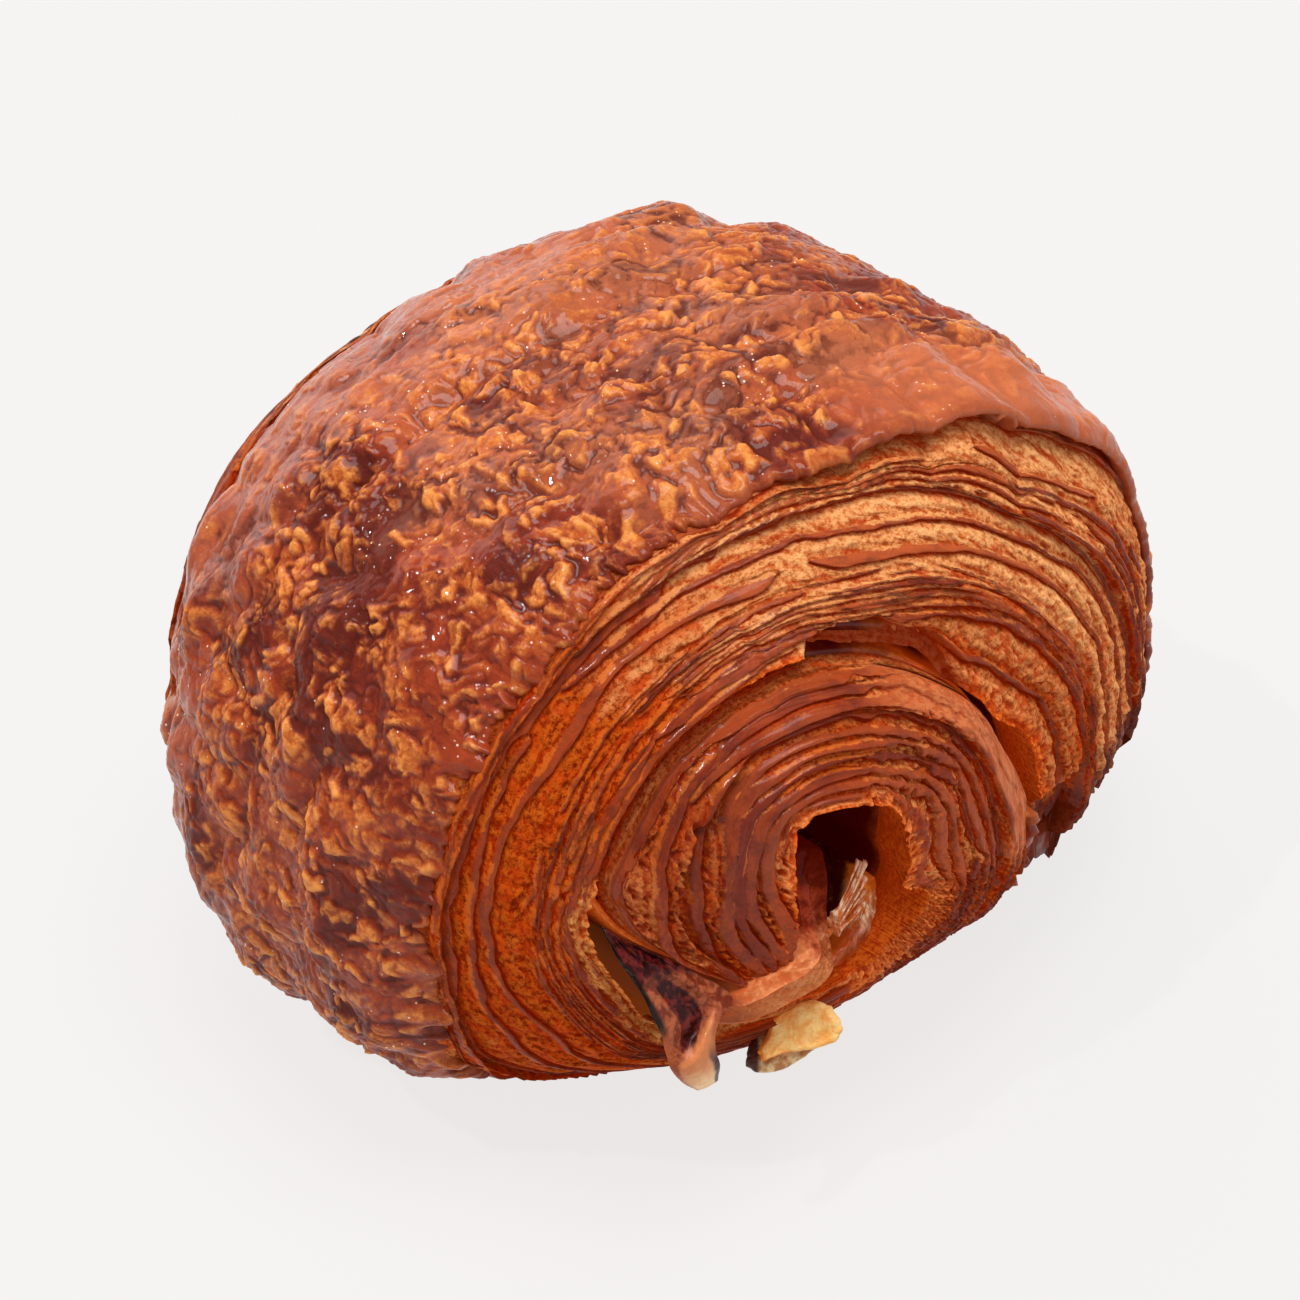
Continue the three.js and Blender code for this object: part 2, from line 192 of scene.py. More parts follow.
layerShare = (
    (-22, (0, 0.25, 0.34, 0.46, 0.71, 0.86, 1)), (35, (0, 0.27, 0.36, 0.46, 0.63, 0.82, 1)),
    (65, (0, 0.205, 0.42, 0.53, 0.77, 0.89, 1)), (90, (0, 0.17, 0.43, 0.59, 0.84, 0.95, 1)),
    (150, (0, 0.13, 0.43, 0.71, 0.93, 0.98, 1)), (180, (0, 0.21, 0.46, 0.69, 0.94, 0.98, 1)),
    (200, (0, 0.12, 0.36, 0.52, 0.9, 0.96, 1)), (250, (0, 0.1, 0.55, 0.6, 0.7, 0.95, 1)),
    (555, (0, 0.1, 0.55, 0.6, 0.7, 0.95, 1)))
shareCurves = [curveThrough([(angle, shares[k]) for angle, shares in layerShare]) for k in range(len(layerMarks))]


def outlineTable():
    # superellipse x = a sgn(c)|c|^(2/n), z = belt + b sgn(s)|s|^(2/n), as distance from the core at each angle
    phi = np.linspace(-np.pi, np.pi, 1441)
    c, s = np.cos(phi), np.sin(phi)
    power = np.where(s >= 0, roll["upperPower"], roll["lowerPower"])
    rise = np.where(s >= 0, roll["height"] - roll["beltHeight"], roll["beltHeight"] + roll["baseCut"])
    rise = rise * roll["endScale"]
    x = roll["halfWidth"] * roll["endScale"] * np.sign(c) * np.abs(c) ** (2 / power) - roll["core"][0]
    z = roll["beltHeight"] + rise * np.sign(s) * np.abs(s) ** (2 / power) - roll["core"][1]
    angle, radius = np.arctan2(z, x), np.hypot(x, z)
    order = np.argsort(angle)
    angle, radius = angle[order], radius[order]
    return (np.concatenate([angle[-1:] - 2 * np.pi, angle, angle[:1] + 2 * np.pi]),
            np.concatenate([radius[-1:], radius, radius[:1]]))


outlineAngles, outlineRadii = outlineTable()


def outlineRadius(degrees):  # distance from the core to the outline of the ends, read from the table
    a = np.radians(degrees)
    return np.interp(np.arctan2(np.sin(a), np.cos(a)), outlineAngles, outlineRadii)


def placed(x, z, v):
    # the ends are domes, depth = atCore + (atRim - atCore) reach^endPower, tucked in below; the roll's section
    # swells between them as 1 - (1 - endScale)|v|^bellyPower
    x, z, v = np.broadcast_arrays(np.asarray(x, float), z, v)
    dx, dz = x - roll["core"][0], z - roll["core"][1]
    angle = np.arctan2(dz, dx)
    rim = np.interp(angle, outlineAngles, outlineRadii)
    reach = clamp(np.hypot(dx, dz) / rim, 0, 1.1)
    rimX, rimZ = roll["core"][0] + rim * np.cos(angle), roll["core"][1] + rim * np.sin(angle)
    front = v < 0
    edge = np.where(front, roll["crustReach"][0], roll["crustReach"][1])
    atRim = edge + np.where(front, roll["lean"] * (rimZ - roll["beltHeight"]) + roll["skew"] * rimX, 0)
    atCore = edge + np.where(front, roll["endBulge"][0], roll["endBulge"][1])
    below, tuckDepth, tuckPower = roll["undercut"]
    tuck = tuckDepth * clamp((below - z) / below) ** tuckPower
    depth = blend(atCore, atRim, reach ** roll["endPower"]) - tuck
    swell = (1 - (1 - roll["endScale"]) * clamp(np.abs(v)) ** roll["bellyPower"]) / roll["endScale"]
    swell = swell - np.where(front, 0, roll["backTaper"] * v * v)
    return np.stack([x * swell, v * depth, roll["beltHeight"] + (z - roll["beltHeight"]) * swell], -1)


def layerPosition(n, angle):  # share of the strip's thickness that lies inside the layer numbered n
    n, angle = np.broadcast_arrays(np.asarray(n, float), np.asarray(angle, float))
    curves = np.stack([curve(angle) for curve in shareCurves])
    marks = np.array(layerMarks, float)
    k = np.clip(np.searchsorted(marks, n, side="left"), 1, len(marks) - 1)
    f = (n - marks[k - 1]) / (marks[k] - marks[k - 1])
    low = np.take_along_axis(curves, (k - 1)[None], 0)[0]
    high = np.take_along_axis(curves, k[None], 0)[0]
    return blend(low, high, f)


def slanted(turn, n):  # the strip's tail is cut on a slant, so its outer layers end sooner
    start, outer, inner = roll["tailCut"]
    return turn + blend(inner, outer, n / roll["layers"]) * clamp((start - turn) / (start - roll["tailAngle"])) ** 2


def stripPoint(turn, n, v, lift=0.0):
    # a point of the rolled strip: turn in degrees along it, n the layer, v along the roll, lift in mm from the core
    angle = slanted(turn, n)
    radius = blend(innerAt(angle), outerAt(angle), layerPosition(n, angle)) * outlineRadius(angle) + lift
    a = np.radians(angle)
    return placed(roll["core"][0] + radius * np.cos(a), roll["core"][1] + radius * np.sin(a), v)


def outward(points):  # unit vector from the roll's middle line, across the roll
    out = np.stack([points[..., 0], np.zeros(points.shape[:-1]), points[..., 2] - roll["beltHeight"]], -1)
    return out / np.linalg.norm(out, axis=-1, keepdims=True)


# Meshes

def meshFrom(name, points, faces, attributes, material, node):
    # faces is a list of index arrays, each (count, corners); the mesh is turned so that its volume is positive
    flat = points.reshape(-1, 3) * 0.001
    volume = sum(np.einsum("ij,ij->", flat[f[:, 0]], np.cross(flat[f[:, k]], flat[f[:, k + 1]]))
                 for f in faces for k in range(1, f.shape[1] - 1))
    if volume < 0:
        faces = [f[:, ::-1] for f in faces]
    corners = np.concatenate([f.ravel() for f in faces]).astype(np.int32)
    sizes = np.concatenate([np.full(len(f), f.shape[1]) for f in faces])
    mesh = bpy.data.meshes.new(name)
    mesh.vertices.add(len(flat))
    mesh.vertices.foreach_set("co", flat.ravel())
    mesh.loops.add(len(corners))
    mesh.loops.foreach_set("vertex_index", corners)
    mesh.polygons.add(len(sizes))
    mesh.polygons.foreach_set("loop_start", np.concatenate([[0], np.cumsum(sizes)[:-1]]).astype(np.int32))
    mesh.polygons.foreach_set("use_smooth", np.ones(len(sizes), bool))
    mesh.update(calc_edges=True)
    mesh.validate()
    for key, values in attributes.items():
        mesh.attributes.new(key, "FLOAT", "POINT").data.foreach_set("value", values.ravel().astype(np.float32))
    mesh.materials.append(material)
    piece = bpy.data.objects.new(name, mesh)
    bpy.context.scene.collection.objects.link(piece)
    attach(piece, "root")
    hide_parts(node)
    print(name, "has", int(np.sum(sizes - 2)), "triangles")


def loopPiece(name, points, attributes, material, node):
    # a closed outline (the columns) carried through the rows; each end is a fan from its middle; an attribute is
    # a number, a row, a column or a value for each point
    rows, columns = points.shape[:2]
    index = np.arange(rows * columns).reshape(rows, columns)
    nextColumn = np.roll(index, -1, axis=1)
    quads = np.stack([index[:-1], index[1:], nextColumn[1:], nextColumn[:-1]], -1).reshape(-1, 4)
    middles = points[[0, -1]].mean(axis=1)
    ends = [np.stack([np.full(columns, rows * columns), index[0], nextColumn[0]], -1),
            np.stack([np.full(columns, rows * columns + 1), nextColumn[-1], index[-1]], -1)]
    everyPoint = np.concatenate([points.reshape(-1, 3), middles])
    spread = {}
    for key, values in attributes.items():
        values = np.broadcast_to(values, (rows, columns))
        spread[key] = np.concatenate([values.ravel(), values[[0, -1]].mean(axis=1)])
    meshFrom(name, everyPoint, [quads, *ends], spread, material, node)


def anglesFor(low, high, spacing):  # angles between two, about that many mm apart on the crust or on the turn
    coarse = np.linspace(low, high, 400)
    radius = outerAt(coarse) * outlineRadius(coarse)
    length = np.concatenate([[0], np.cumsum(np.diff(np.radians(coarse)) * radius[1:])])
    count = max(8, int(length[-1] / spacing))
    return np.interp(np.linspace(0, length[-1], count), length, coarse)


# Shader building

def linearColour(colour):
    # a screen colour as the renderer's linear one: c/12.92 up to 0.04045, ((c + 0.055)/1.055)^2.4 above
    if not isinstance(colour, tuple):
        return colour
    shares = [c / 255 for c in colour]
    return (*(c / 12.92 if c <= 0.04045 else ((c + 0.055) / 1.055) ** 2.4 for c in shares), 1)


class Value:
    # a socket that takes part in sums and products: each operator adds one Math node
    def __init__(self, shade, socket):
        self.shade, self.socket = shade, socket

    def combine(self, operation, first, second):
        made = self.shade.node("ShaderNodeMath", {"operation": operation}, {0: first, 1: second})
        return Value(self.shade, made.outputs[0])

    def __add__(self, other): return self.combine("ADD", self, other)
    def __radd__(self, other): return self.combine("ADD", other, self)
    def __sub__(self, other): return self.combine("SUBTRACT", self, other)
    def __rsub__(self, other): return self.combine("SUBTRACT", other, self)
    def __mul__(self, other): return self.combine("MULTIPLY", self, other)
    def __rmul__(self, other): return self.combine("MULTIPLY", other, self)

    def between(self, low, high):  # a smooth step from 0 at low to 1 at high
        inputs = {"Value": self, "From Min": low, "From Max": high}
        mapped = self.shade.node("ShaderNodeMapRange", {"interpolation_type": "SMOOTHSTEP"}, inputs)
        return Value(self.shade, mapped.outputs[0])


class Shade:
    # a material: its fixed values, nodes made by one method, and at the end what its surface wears
    def __init__(self, name, **fixed):
        self.material = bpy.data.materials.new(name)
        self.material.use_nodes = True
        self.material.cycles.emission_sampling = "NONE"
        self.tree = self.material.node_tree
        self.surface = self.tree.nodes["Principled BSDF"]
        self.place = self.node("ShaderNodeTexCoord").outputs["Object"]
        for key, value in fixed.items():
            self.surface.inputs[key.replace("_", " ")].default_value = value

    def node(self, kind, settings=None, inputs=None):  # settings first, then the sockets' values or links
        made = self.tree.nodes.new(kind)
        for key, value in (settings or {}).items():
            setattr(made, key, value)
        for key, value in (inputs or {}).items():
            socket = made.inputs[key]
            if isinstance(value, Value):
                self.tree.links.new(value.socket, socket)
            elif isinstance(value, bpy.types.NodeSocket):
                self.tree.links.new(value, socket)
            else:
                socket.default_value = value
        return made

    def own(self, name):  # the piece's own attribute
        return Value(self, self.node("ShaderNodeAttribute", {"attribute_name": name}).outputs["Fac"])

    def owns(self, *names):
        return [self.own(name) for name in names]

    def grain(self, size, detail=3.0, roughness=0.55, stretch=(1, 1, 1), distortion=0.0):
        # noise with features about size mm across
        mapped = self.node("ShaderNodeMapping", None, {"Vector": self.place, "Scale": stretch})
        inputs = {"Vector": mapped.outputs[0], "Scale": 1000 / size, "Detail": detail, "Roughness": roughness,
                  "Distortion": distortion}
        return Value(self, self.node("ShaderNodeTexNoise", None, inputs).outputs["Fac"])

    def strip(self, along, across, detail=3.0, roughness=0.6, distortion=0.0):
        # noise that follows the rolled strip, with features that many mm along and across its layers; the third
        # coordinate takes each size through noise of its own
        inputs = {0: self.own("along") * (1 / along), 1: self.own("across") * (1 / across), 2: across}
        vector = self.node("ShaderNodeCombineXYZ", None, inputs).outputs[0]
        inputs = {"Vector": vector, "Scale": 1.0, "Detail": detail, "Roughness": roughness, "Distortion": distortion}
        return Value(self, self.node("ShaderNodeTexNoise", None, inputs).outputs["Fac"])

    def spots(self, size):  # distance to the nearest of points about size mm apart, as a share of that
        inputs = {"Vector": self.place, "Scale": 1000 / size}
        return Value(self, self.node("ShaderNodeTexVoronoi", None, inputs).outputs["Distance"])

    def mix(self, factor, first, second):  # each colour is a socket, or red, green and blue on screen, 0 to 255
        inputs = {0: factor, 6: linearColour(first), 7: linearColour(second)}
        return self.node("ShaderNodeMix", {"data_type": "RGBA"}, inputs).outputs[2]

    def bump(self, height, distance, strength):  # distance in mm
        inputs = {"Height": height, "Distance": distance * 0.001, "Strength": strength}
        return self.node("ShaderNodeBump", None, inputs).outputs[0]

    def wear(self, **sockets):  # links what changes over the surface
        for key, value in sockets.items():
            socket = self.surface.inputs[key.replace("_", " ")]
            self.tree.links.new(value.socket if isinstance(value, Value) else value, socket)
        return self.material


# The crust

crust = {
    "spacing": 0.22, "coarseSpacing": 0.8, "faceWidth": 62,  # mm between rows, and across the roll
    "overlap": 1.6, "sink": 0.9,  # degrees by which a piece runs on under the next, and mm by which it sinks there
    "radius": 42,  # mm along the crust for each radian
    "blisterHeight": 1.2, "waveHeight": 0.9,  # as the solids have them
    "flap": (14, 84), "flapFace": (5, 67), "flapOverhang": 2.3, "flapLift": 1.1,  # degrees, degrees, mm, mm
    "blisters": ((4.2, 0.5), (2.3, 0.46), (1.3, 0.3), (0.8, 0.16)),  # size across, height, mm
    "flakeHeight": 0.13, "streakHeight": 0.4,
    "rimFray": (0.25, 0.65, 0.7, 0.5),  # mm: at the tail, more to its left, more still at the top, less on the flap
    "darkest": (116, 13, -0.2, 0.4),  # where it is baked darkest: angle and v, each with its reach
    # the sections of the rims, as mm inwards and mm out along the roll; the back one runs on over the end
    "frontRim": ((1.1, 0.95, 0.6, 0.25), (0.0, 0.3, 0.42, 0.3)),
    "backRim": ((0.3, 0.9, 1.7, 2.6, 3.6, 4.6, 5.4, 5.8), (0.4, 0.75, 0.9, 0.95, 0.95, 0.9, 0.6, 0.1)),
    "underside": (0.9, 0.8, 0.5, 0.0, -0.5, -0.85, -0.97), "thickness": 1.7, "backThickness": 5.0,
}


def formRelief(angle, y):  # the blisters and waves that the solids have: folded noise, finer noise, broad noise
    a = np.radians(angle) * crust["radius"]
    blisters = np.abs(noise(a / 9, y / 6)) * 1.6 - 0.5 + 0.5 * noise(a / 4.5, y / 3.4)
    return crust["blisterHeight"] * blisters + crust["waveHeight"] * noise(a / 24 + 7, y / 17)


def blistered(x, y, size, seed):  # a steep-sided blister in each cell of an uneven grid, some high and some low
    first, second, own = cells(x / size, y / size, seed)
    return own ** 1.4 * smoothStep(0.0, 0.5, second - first) * (1 - 0.6 * first ** 2)


def crustRelief(angle, y, v):
    # mm out of the form: blisters in four sizes on a warped grid, flat flakes with steep edges, and towards the
    # back and along the front rim ridges that follow the strip; also how golden and how dark each place is baked
    a = np.radians(angle) * crust["radius"]
    # smooth glaze towards the back, which the shader also paints with sheen
    smoothAndSheen = smoothStep(0.35, 0.8, v + 0.25 * noise(a / 11, y / 9))
    rim = smoothStep(-0.66, -0.97, v)
    patch = 0.62 + 0.38 * smoothStep(-0.4, 0.2, rough(a / 9, y / 8, 3, 4.1))
    patch = patch * (1 - 0.62 * smoothAndSheen) * (1 - 0.2 * smoothStep(0.93, 1.0, np.abs(v)))
    wa = a + 1.1 * noise(a / 2.7, y / 2.4 + 9) + 0.4 * noise(a / 0.9 + 3, y / 0.9)
    wy = y + 1.1 * noise(a / 2.5 + 5, y / 2.7) + 0.4 * noise(a / 0.9, y / 0.9 + 6)
    fine = 0
    for k, (size, height) in enumerate(crust["blisters"]):
        fine = fine + height * (blistered(wa, wy, size, 3.0 + 2 * k) - 0.25)
    flakes = smoothStep(0.03, 0.1, rough(wa / 4.2 + 9, wy / 3.6, 3, 5.0))
    flakes = flakes + smoothStep(-0.2, -0.14, rough(wa / 2.6, wy / 2.9, 2, 9.0))
    streaks = rough(a / 8 + 2, y / 1.4, 2, 8.0) * np.maximum(smoothStep(0.2, 0.75, v), 0.5 * rim)
    relief = patch * (fine + crust["flakeHeight"] * flakes) + crust["streakHeight"] * streaks
    gold = 0.95 * fine + 0.5 * rough(wa / 4, wy / 3.6, 4, 12.0) + 0.15 * rough(wa / 1.1, wy / 1.1, 3, 6.0)
    gold = smoothStep(-0.5, 0.65, gold)
    darkAngle, angleReach, darkV, vReach = crust["darkest"]
    darkest = np.exp(-((angle - darkAngle) / angleReach) ** 2 - ((v - darkV) / vReach) ** 2)
    dusk = smoothStep(0.0, 0.5, rough(wa / 6.5 + 5, wy / 5.5, 5, 21.0) - 0.4 * fine + 0.32 * darkest)
    return relief, smoothAndSheen, gold, dusk


def crustPiece(name, low, high, spacing):
    # rows along the strip run on past both borders and sink there; columns across the roll: the outer face from
    # v = -1 to 1, a rounded lip at both ends and the underside
    over = crust["overlap"]
    angle = anglesFor(low - over, high + over, spacing)
    sunk = crust["sink"] * clamp(np.maximum(low - angle, angle - high) / over) ** 2
    rows, sunk = angle[:, None], sunk[:, None]
    face = np.linspace(-1, 1, int(crust["faceWidth"] / spacing))
    (frontIn, frontOut), (backIn, backOut) = np.array(crust["frontRim"]), np.array(crust["backRim"])
    under = np.array(crust["underside"])
    underIn = [crust["backThickness"]] + [crust["thickness"]] * (len(under) - 1)
    v = np.concatenate([face, np.ones(len(backIn)), under, -np.ones(len(frontIn))])[None]
    inset = np.concatenate([0 * face, backIn, underIn, frontIn])[None]
    push = np.concatenate([0 * face, backOut, 0 * under, -frontOut])[None]
    base = stripPoint(rows, roll["layers"], v)
    rows = slanted(rows, roll["layers"])
    crusted = clamp((outerAt(rows) - 0.55) / 0.3)
    relief, smoothAndSheen, gold, dusk = crustRelief(rows, base[..., 1], v)
    flapped = hump(rows, *crust["flap"], 0.6)  # how proud the flap stands at the front rim
    smooth = hump(rows, *crust["flapFace"], 0.5) * smoothStep(0.5, 0.8, -v)
    lifted = crust["flapLift"] * flapped * clamp((-v - 0.6) / 0.4) ** 2
    height = formRelief(rows, base[..., 1]) + relief * (1 - 0.6 * smooth) + lifted
    points = base + outward(base) * (crusted * height - inset - sunk)[..., None]
    points[..., 1] += push * (0.6 + 0.5 * flapped) - crust["flapOverhang"] * flapped * smoothStep(0.86, 1.0, -v)
    along = np.radians(rows) * crust["radius"]
    fray = rough(along / 2.6, v * 2, 3, 4.0) + 0.5 * noise(along / 0.8, v * 2)  # an uneven front rim
    least, more, most, less = crust["rimFray"]
    frayed = least + more * smoothStep(10, 40, rows) + most * smoothStep(84, 100, rows) - less * flapped
    points[..., 1] += frayed * fray * smoothStep(0.9, 1.0, -v)
    points[..., 2] = np.maximum(0, points[..., 2])
    reach = max(1, round(1.1 / spacing))
    masks = {"raised": np.clip((relief - blurred(relief, reach)) / 0.24, -1.5, 1.5), "gold": gold, "dusk": dusk,
             "smoothAndSheen": smoothAndSheen, "lip": smoothStep(0.95, 1.0, np.abs(v)), "flap": smooth,
             "sheen": smoothStep(69, 79, base[..., 2] + 5 * noise(np.radians(rows) * 6, base[..., 1] / 7))}
    loopPiece(name, points, masks, crustMaterial, "pastry_roll")


def glazedCrust():
    # egg glaze: dark red-brown in the creases, red-brown on the flats, golden where blisters stand up; painted sheen
    # on the smooth glaze towards the back and on the highest places, and painted white glints in clusters
    shade = Shade("glazedCrust", Coat_Roughness=0.07, Coat_IOR=1.45, Specular_IOR_Level=0.05)
    raised, gold, dusk, smoothAndSheen, lip, flap, sheen = shade.owns("raised", "gold", "dusk", "smoothAndSheen", "lip", "flap", "sheen")
    broad, middle = shade.grain(11, 2), shade.grain(2.2, 3, 0.6, distortion=0.6)
    fine = shade.grain(0.75, 4, 0.7, distortion=0.8)
    glaze = shade.mix((broad * 0.5 + middle * 0.5).between(0.38, 0.62), (124, 36, 14), (166, 62, 28))
    glaze = shade.mix(dusk * 0.8, glaze, (98, 32, 24))
    # painted sheen on the smooth glaze towards the back
    glaze = shade.mix(smoothAndSheen * 0.5, glaze, (190, 100, 72))
    glaze = shade.mix(sheen * 0.28, glaze, (234, 150, 104))
    amber = shade.mix((fine * 0.8 + raised * 0.2).between(0.2, 0.8), (190, 80, 26), (240, 154, 76))
    bare = gold + raised * 0.16 + (fine - 0.5) * 0.9 + (middle - 0.5) * 0.7 - dusk * 0.25
    bare = bare.between(0.0, 1.1) * (1 - smoothAndSheen * 0.4) * (1 - flap * 0.45)
    colour = shade.mix(bare, glaze, amber)
    dark = (dusk * 0.3 - raised * 0.6 + (fine - 0.5) * 0.9 + (middle - 0.5) * 0.5).between(0.08, 0.68)
    colour = shade.mix(dark * 0.8, colour, (92, 28, 16))
    paintedGlints = shade.spots(0.8).between(0.2, 0.13) * (broad * 0.7 + middle).between(0.98, 1.03)  # painted white glints, in clusters
    colour = shade.mix(paintedGlints * 0.85, colour, (255, 232, 208))
    colour = shade.mix(flap * 0.6, colour, (218, 122, 76))
    colour = shade.mix(lip * 0.4, colour, (140, 52, 26))
    normal = shade.bump(fine + middle * 0.6, 0.3, 0.7)
    return shade.wear(Base_Color=colour, Normal=normal, Roughness=bare * 0.12 + 0.38 + (fine - 0.5) * 0.2,
                      Coat_Weight=0.5 - bare * 0.1 - dusk * 0.2 + smoothAndSheen * 0.35)


crustMaterial = glazedCrust()
for part, (low, high, spacing) in {
    "crust_right": (roll["tailAngle"], 45, crust["spacing"]), "crust_top": (45, 105, crust["spacing"]),
    "crust_left": (105, 160, crust["spacing"]), "crust_low": (160, 215, crust["spacing"] * 1.1),
    "crust_base": (215, 352, crust["coarseSpacing"]),
}.items():
    crustPiece(part, low, high, spacing)
print("crust made")

# The layered ends

layers = {
    "spacing": 0.24, "overlap": 1.6, "sink": 1.8,  # mm between rows; as the crust's
    "ribbonHeight": 0.42, "grooveDepth": 0.62, "grainHeight": 0.2, "lumpHeight": 0.75, "pitDepth": 0.75,
    "fibreHeight": 0.3, "shoulderDrop": 1.8, "recessDepth": 3.0, "gapDepth": 3, "notchDepth": 3.4,  # all mm
    # how far each layer stands out of the end, mm
    "macro": [(0, 0.2), (2, 0.0), (6, 0.35), (11, 0.4), (12, 0.2), (13.5, -0.7), (14.0, -1.1), (14.25, 0.9),
              (17, 0.5), (19, 0.8), (19.4, 0.1), (19.8, -0.4), (20, -0.4)],
    # how many layers the recess above the second turn takes at each angle; its darkness is painted shade
    "recess": [(-30, 0), (36, 0), (48, 0.5), (62, 1.2), (76, 2.0), (84, 1.7), (90, 0), (560, 0)],
    "secondTurn": (332, 350),  # degrees, as all the ranges below
    "gap": (207, 13), "gapWall": (150, 162, 204, 216),  # pale crumb that runs down into the gap, and beside it
    "hollowLip": (336, 352, 404, 432), "hollowReach": (2.5, 0.6),  # crumb hangs in over the hollow's right side
    "gapLip": (18, 32, 46, 58), "gapReach": (1.7, 0.3),  # and over the gap above the second turn, mm and their change
    "toasted": (462, 484, 530, 548), "tailToast": (-8, -19),
    "crack": (97.5, 1.6, 0.6),  # where the front is cracked, how far that wanders, and its step in mm
    # the hidden wall behind a piece: layer and share of the way out to the end
    "closing": [(20, 0.975), (20, 0.93), (14, 0.88), (7, 0.86), (0, 0.86), (0, 0.9)],
    # how some layers' ribbons run on to the tongue: width in mm, and share of the thickness at each of these angles
    "tongueAngles": (487, 497, 506, 516, 527, 535, 545, 555),
    "tongue": {
        4: (1.8, (0.24, 0.215, 0.165, 0.105, 0.07, 0.04, 0.02, 0.02)),
        6: (1.4, (0.36, 0.34, 0.315, 0.285, 0.24, 0.21, 0.15, 0.12)),
        8: (1.4, (0.46, 0.425, 0.39, 0.355, 0.35, 0.34, 0.31, 0.3)),
        10: (1.4, (0.56, 0.51, 0.46, 0.42, 0.46, 0.47, 0.48, 0.48)),
        14: (1.0, (0.70, 0.665, 0.63, 0.59, 0.62, 0.68, 0.81, 0.95)),
        18: (1.0, (0.86, 0.845, 0.835, 0.785, 0.84, 0.93, 0.985, 0.985)),
        20: (0.8, (0.985,) * 8),
    },
}
macroAt = curveThrough(layers["macro"])
recessAt = curveThrough(layers["recess"])


def layerAt(share, angle):  # the reverse of layerPosition: the layer number at a share of the strip's thickness
    curves = np.stack([curve(angle) for curve in shareCurves])
    return sum(clamp((share - curves[k]) / (curves[k + 1] - curves[k])) * (layerMarks[k + 1] - layerMarks[k])
               for k in range(len(layerMarks) - 1))


def ribbonsAt(rows, along, thickness):
    # middle and half width in mm and tone of the baked ribbon at the outer side of each layer; they wander and
    # merge, every other one ends as the strip turns in, and the rest run to the tongue on curves of their own
    turned, near = smoothStep(330, 352, rows), smoothStep(466, 487, rows)
    for k in range(1, roll["layers"] + 1):
        loose = smoothStep(0.5, 2, k) * (k < roll["layers"])
        n = k + loose * (0.2 * hashed(k, 7.0) + 0.26 * noise(along / 14, k * 3.7) + 0.16 * noise(along / 4.5, k * 7.7))
        share = layerPosition(n, rows)
        room = (share - layerPosition(k - 1.0, rows)) * thickness
        vary = 1 + 0.4 * noise(along / 8 + k * 3.7, k * 1.9) + 0.3 * noise(along / 2.1, k * 4.1)
        whole = smoothStep(-0.85, -0.2, noise(along / 5.5 + k * 1.3, k * 6.1) + 0.25 * noise(along / 1.2, k * 2.7))
        width = np.clip((0.56 + 0.25 * hashed(k, 17.0)) * room * vary, 0.2, 1.0) * whole
        width = blend(width, 0.36 * vary, smoothStep(1.5, 2.4, room))
        width = blend(width, 0.85 * vary * (k % 2 == 0) * (0.3 + 0.7 * whole), turned)
        if k in layers["tongue"]:
            wide, shares = layers["tongue"][k]
            share = blend(share, curveThrough(list(zip(layers["tongueAngles"], shares)))(rows), near)
            width = blend(width, wide * (0.6 + 0.4 * vary) * clamp(thickness / 9, 0.3, 1), near)
        else:
            width = width * smoothStep(496, 478, rows)
        middle = share * thickness - width * 0.5 * (1 - near)
        yield middle, width / 2, 0.5 + 0.5 * hashed(k, 5.0) + 0.3 * noise(along / 12, k * 2.3)


def ribbonField(rows, along, depth, thickness):
    # over the grid: where a ribbon lies, its crown 1 - 0.3 (off/half)^2, the groove along its inner side and its
    # rims, each a bell curve of the distance across the strip, its tone, and the distance to the nearest ribbon
    ribbon, dome, groove, rim = (np.zeros(depth.shape) for _ in range(4))
    tone, clear = np.full(depth.shape, 0.5), np.full(depth.shape, 9.0)
    for middle, half, own in ribbonsAt(rows, along, thickness):
        off, there = depth - middle, clamp(half / 0.12)
        inside = smoothStep(half + 0.1, half - 0.1, np.abs(off)) * there
        tone = np.where(inside > 0.4, own, tone)
        ribbon = np.maximum(ribbon, inside)
        dome = np.maximum(dome, inside * (1 - 0.3 * (off / np.maximum(half, 0.1)) ** 2))
        groove = np.maximum(groove, there * np.exp(-((off + half + 0.17) / 0.14) ** 2))
        # the rims are pale lines for the shader: painted highlights
        rim = np.maximum(rim, there * np.exp(-((off - half) / 0.13) ** 2))
        rim = np.maximum(rim, 0.5 * there * np.exp(-((off + half) / 0.1) ** 2))
        clear = np.minimum(clear, np.where(there > 0.5, np.maximum(np.abs(off) - half, 0), 9.0))
    return ribbon, dome, groove * (1 - ribbon), rim, clamp(tone), clear


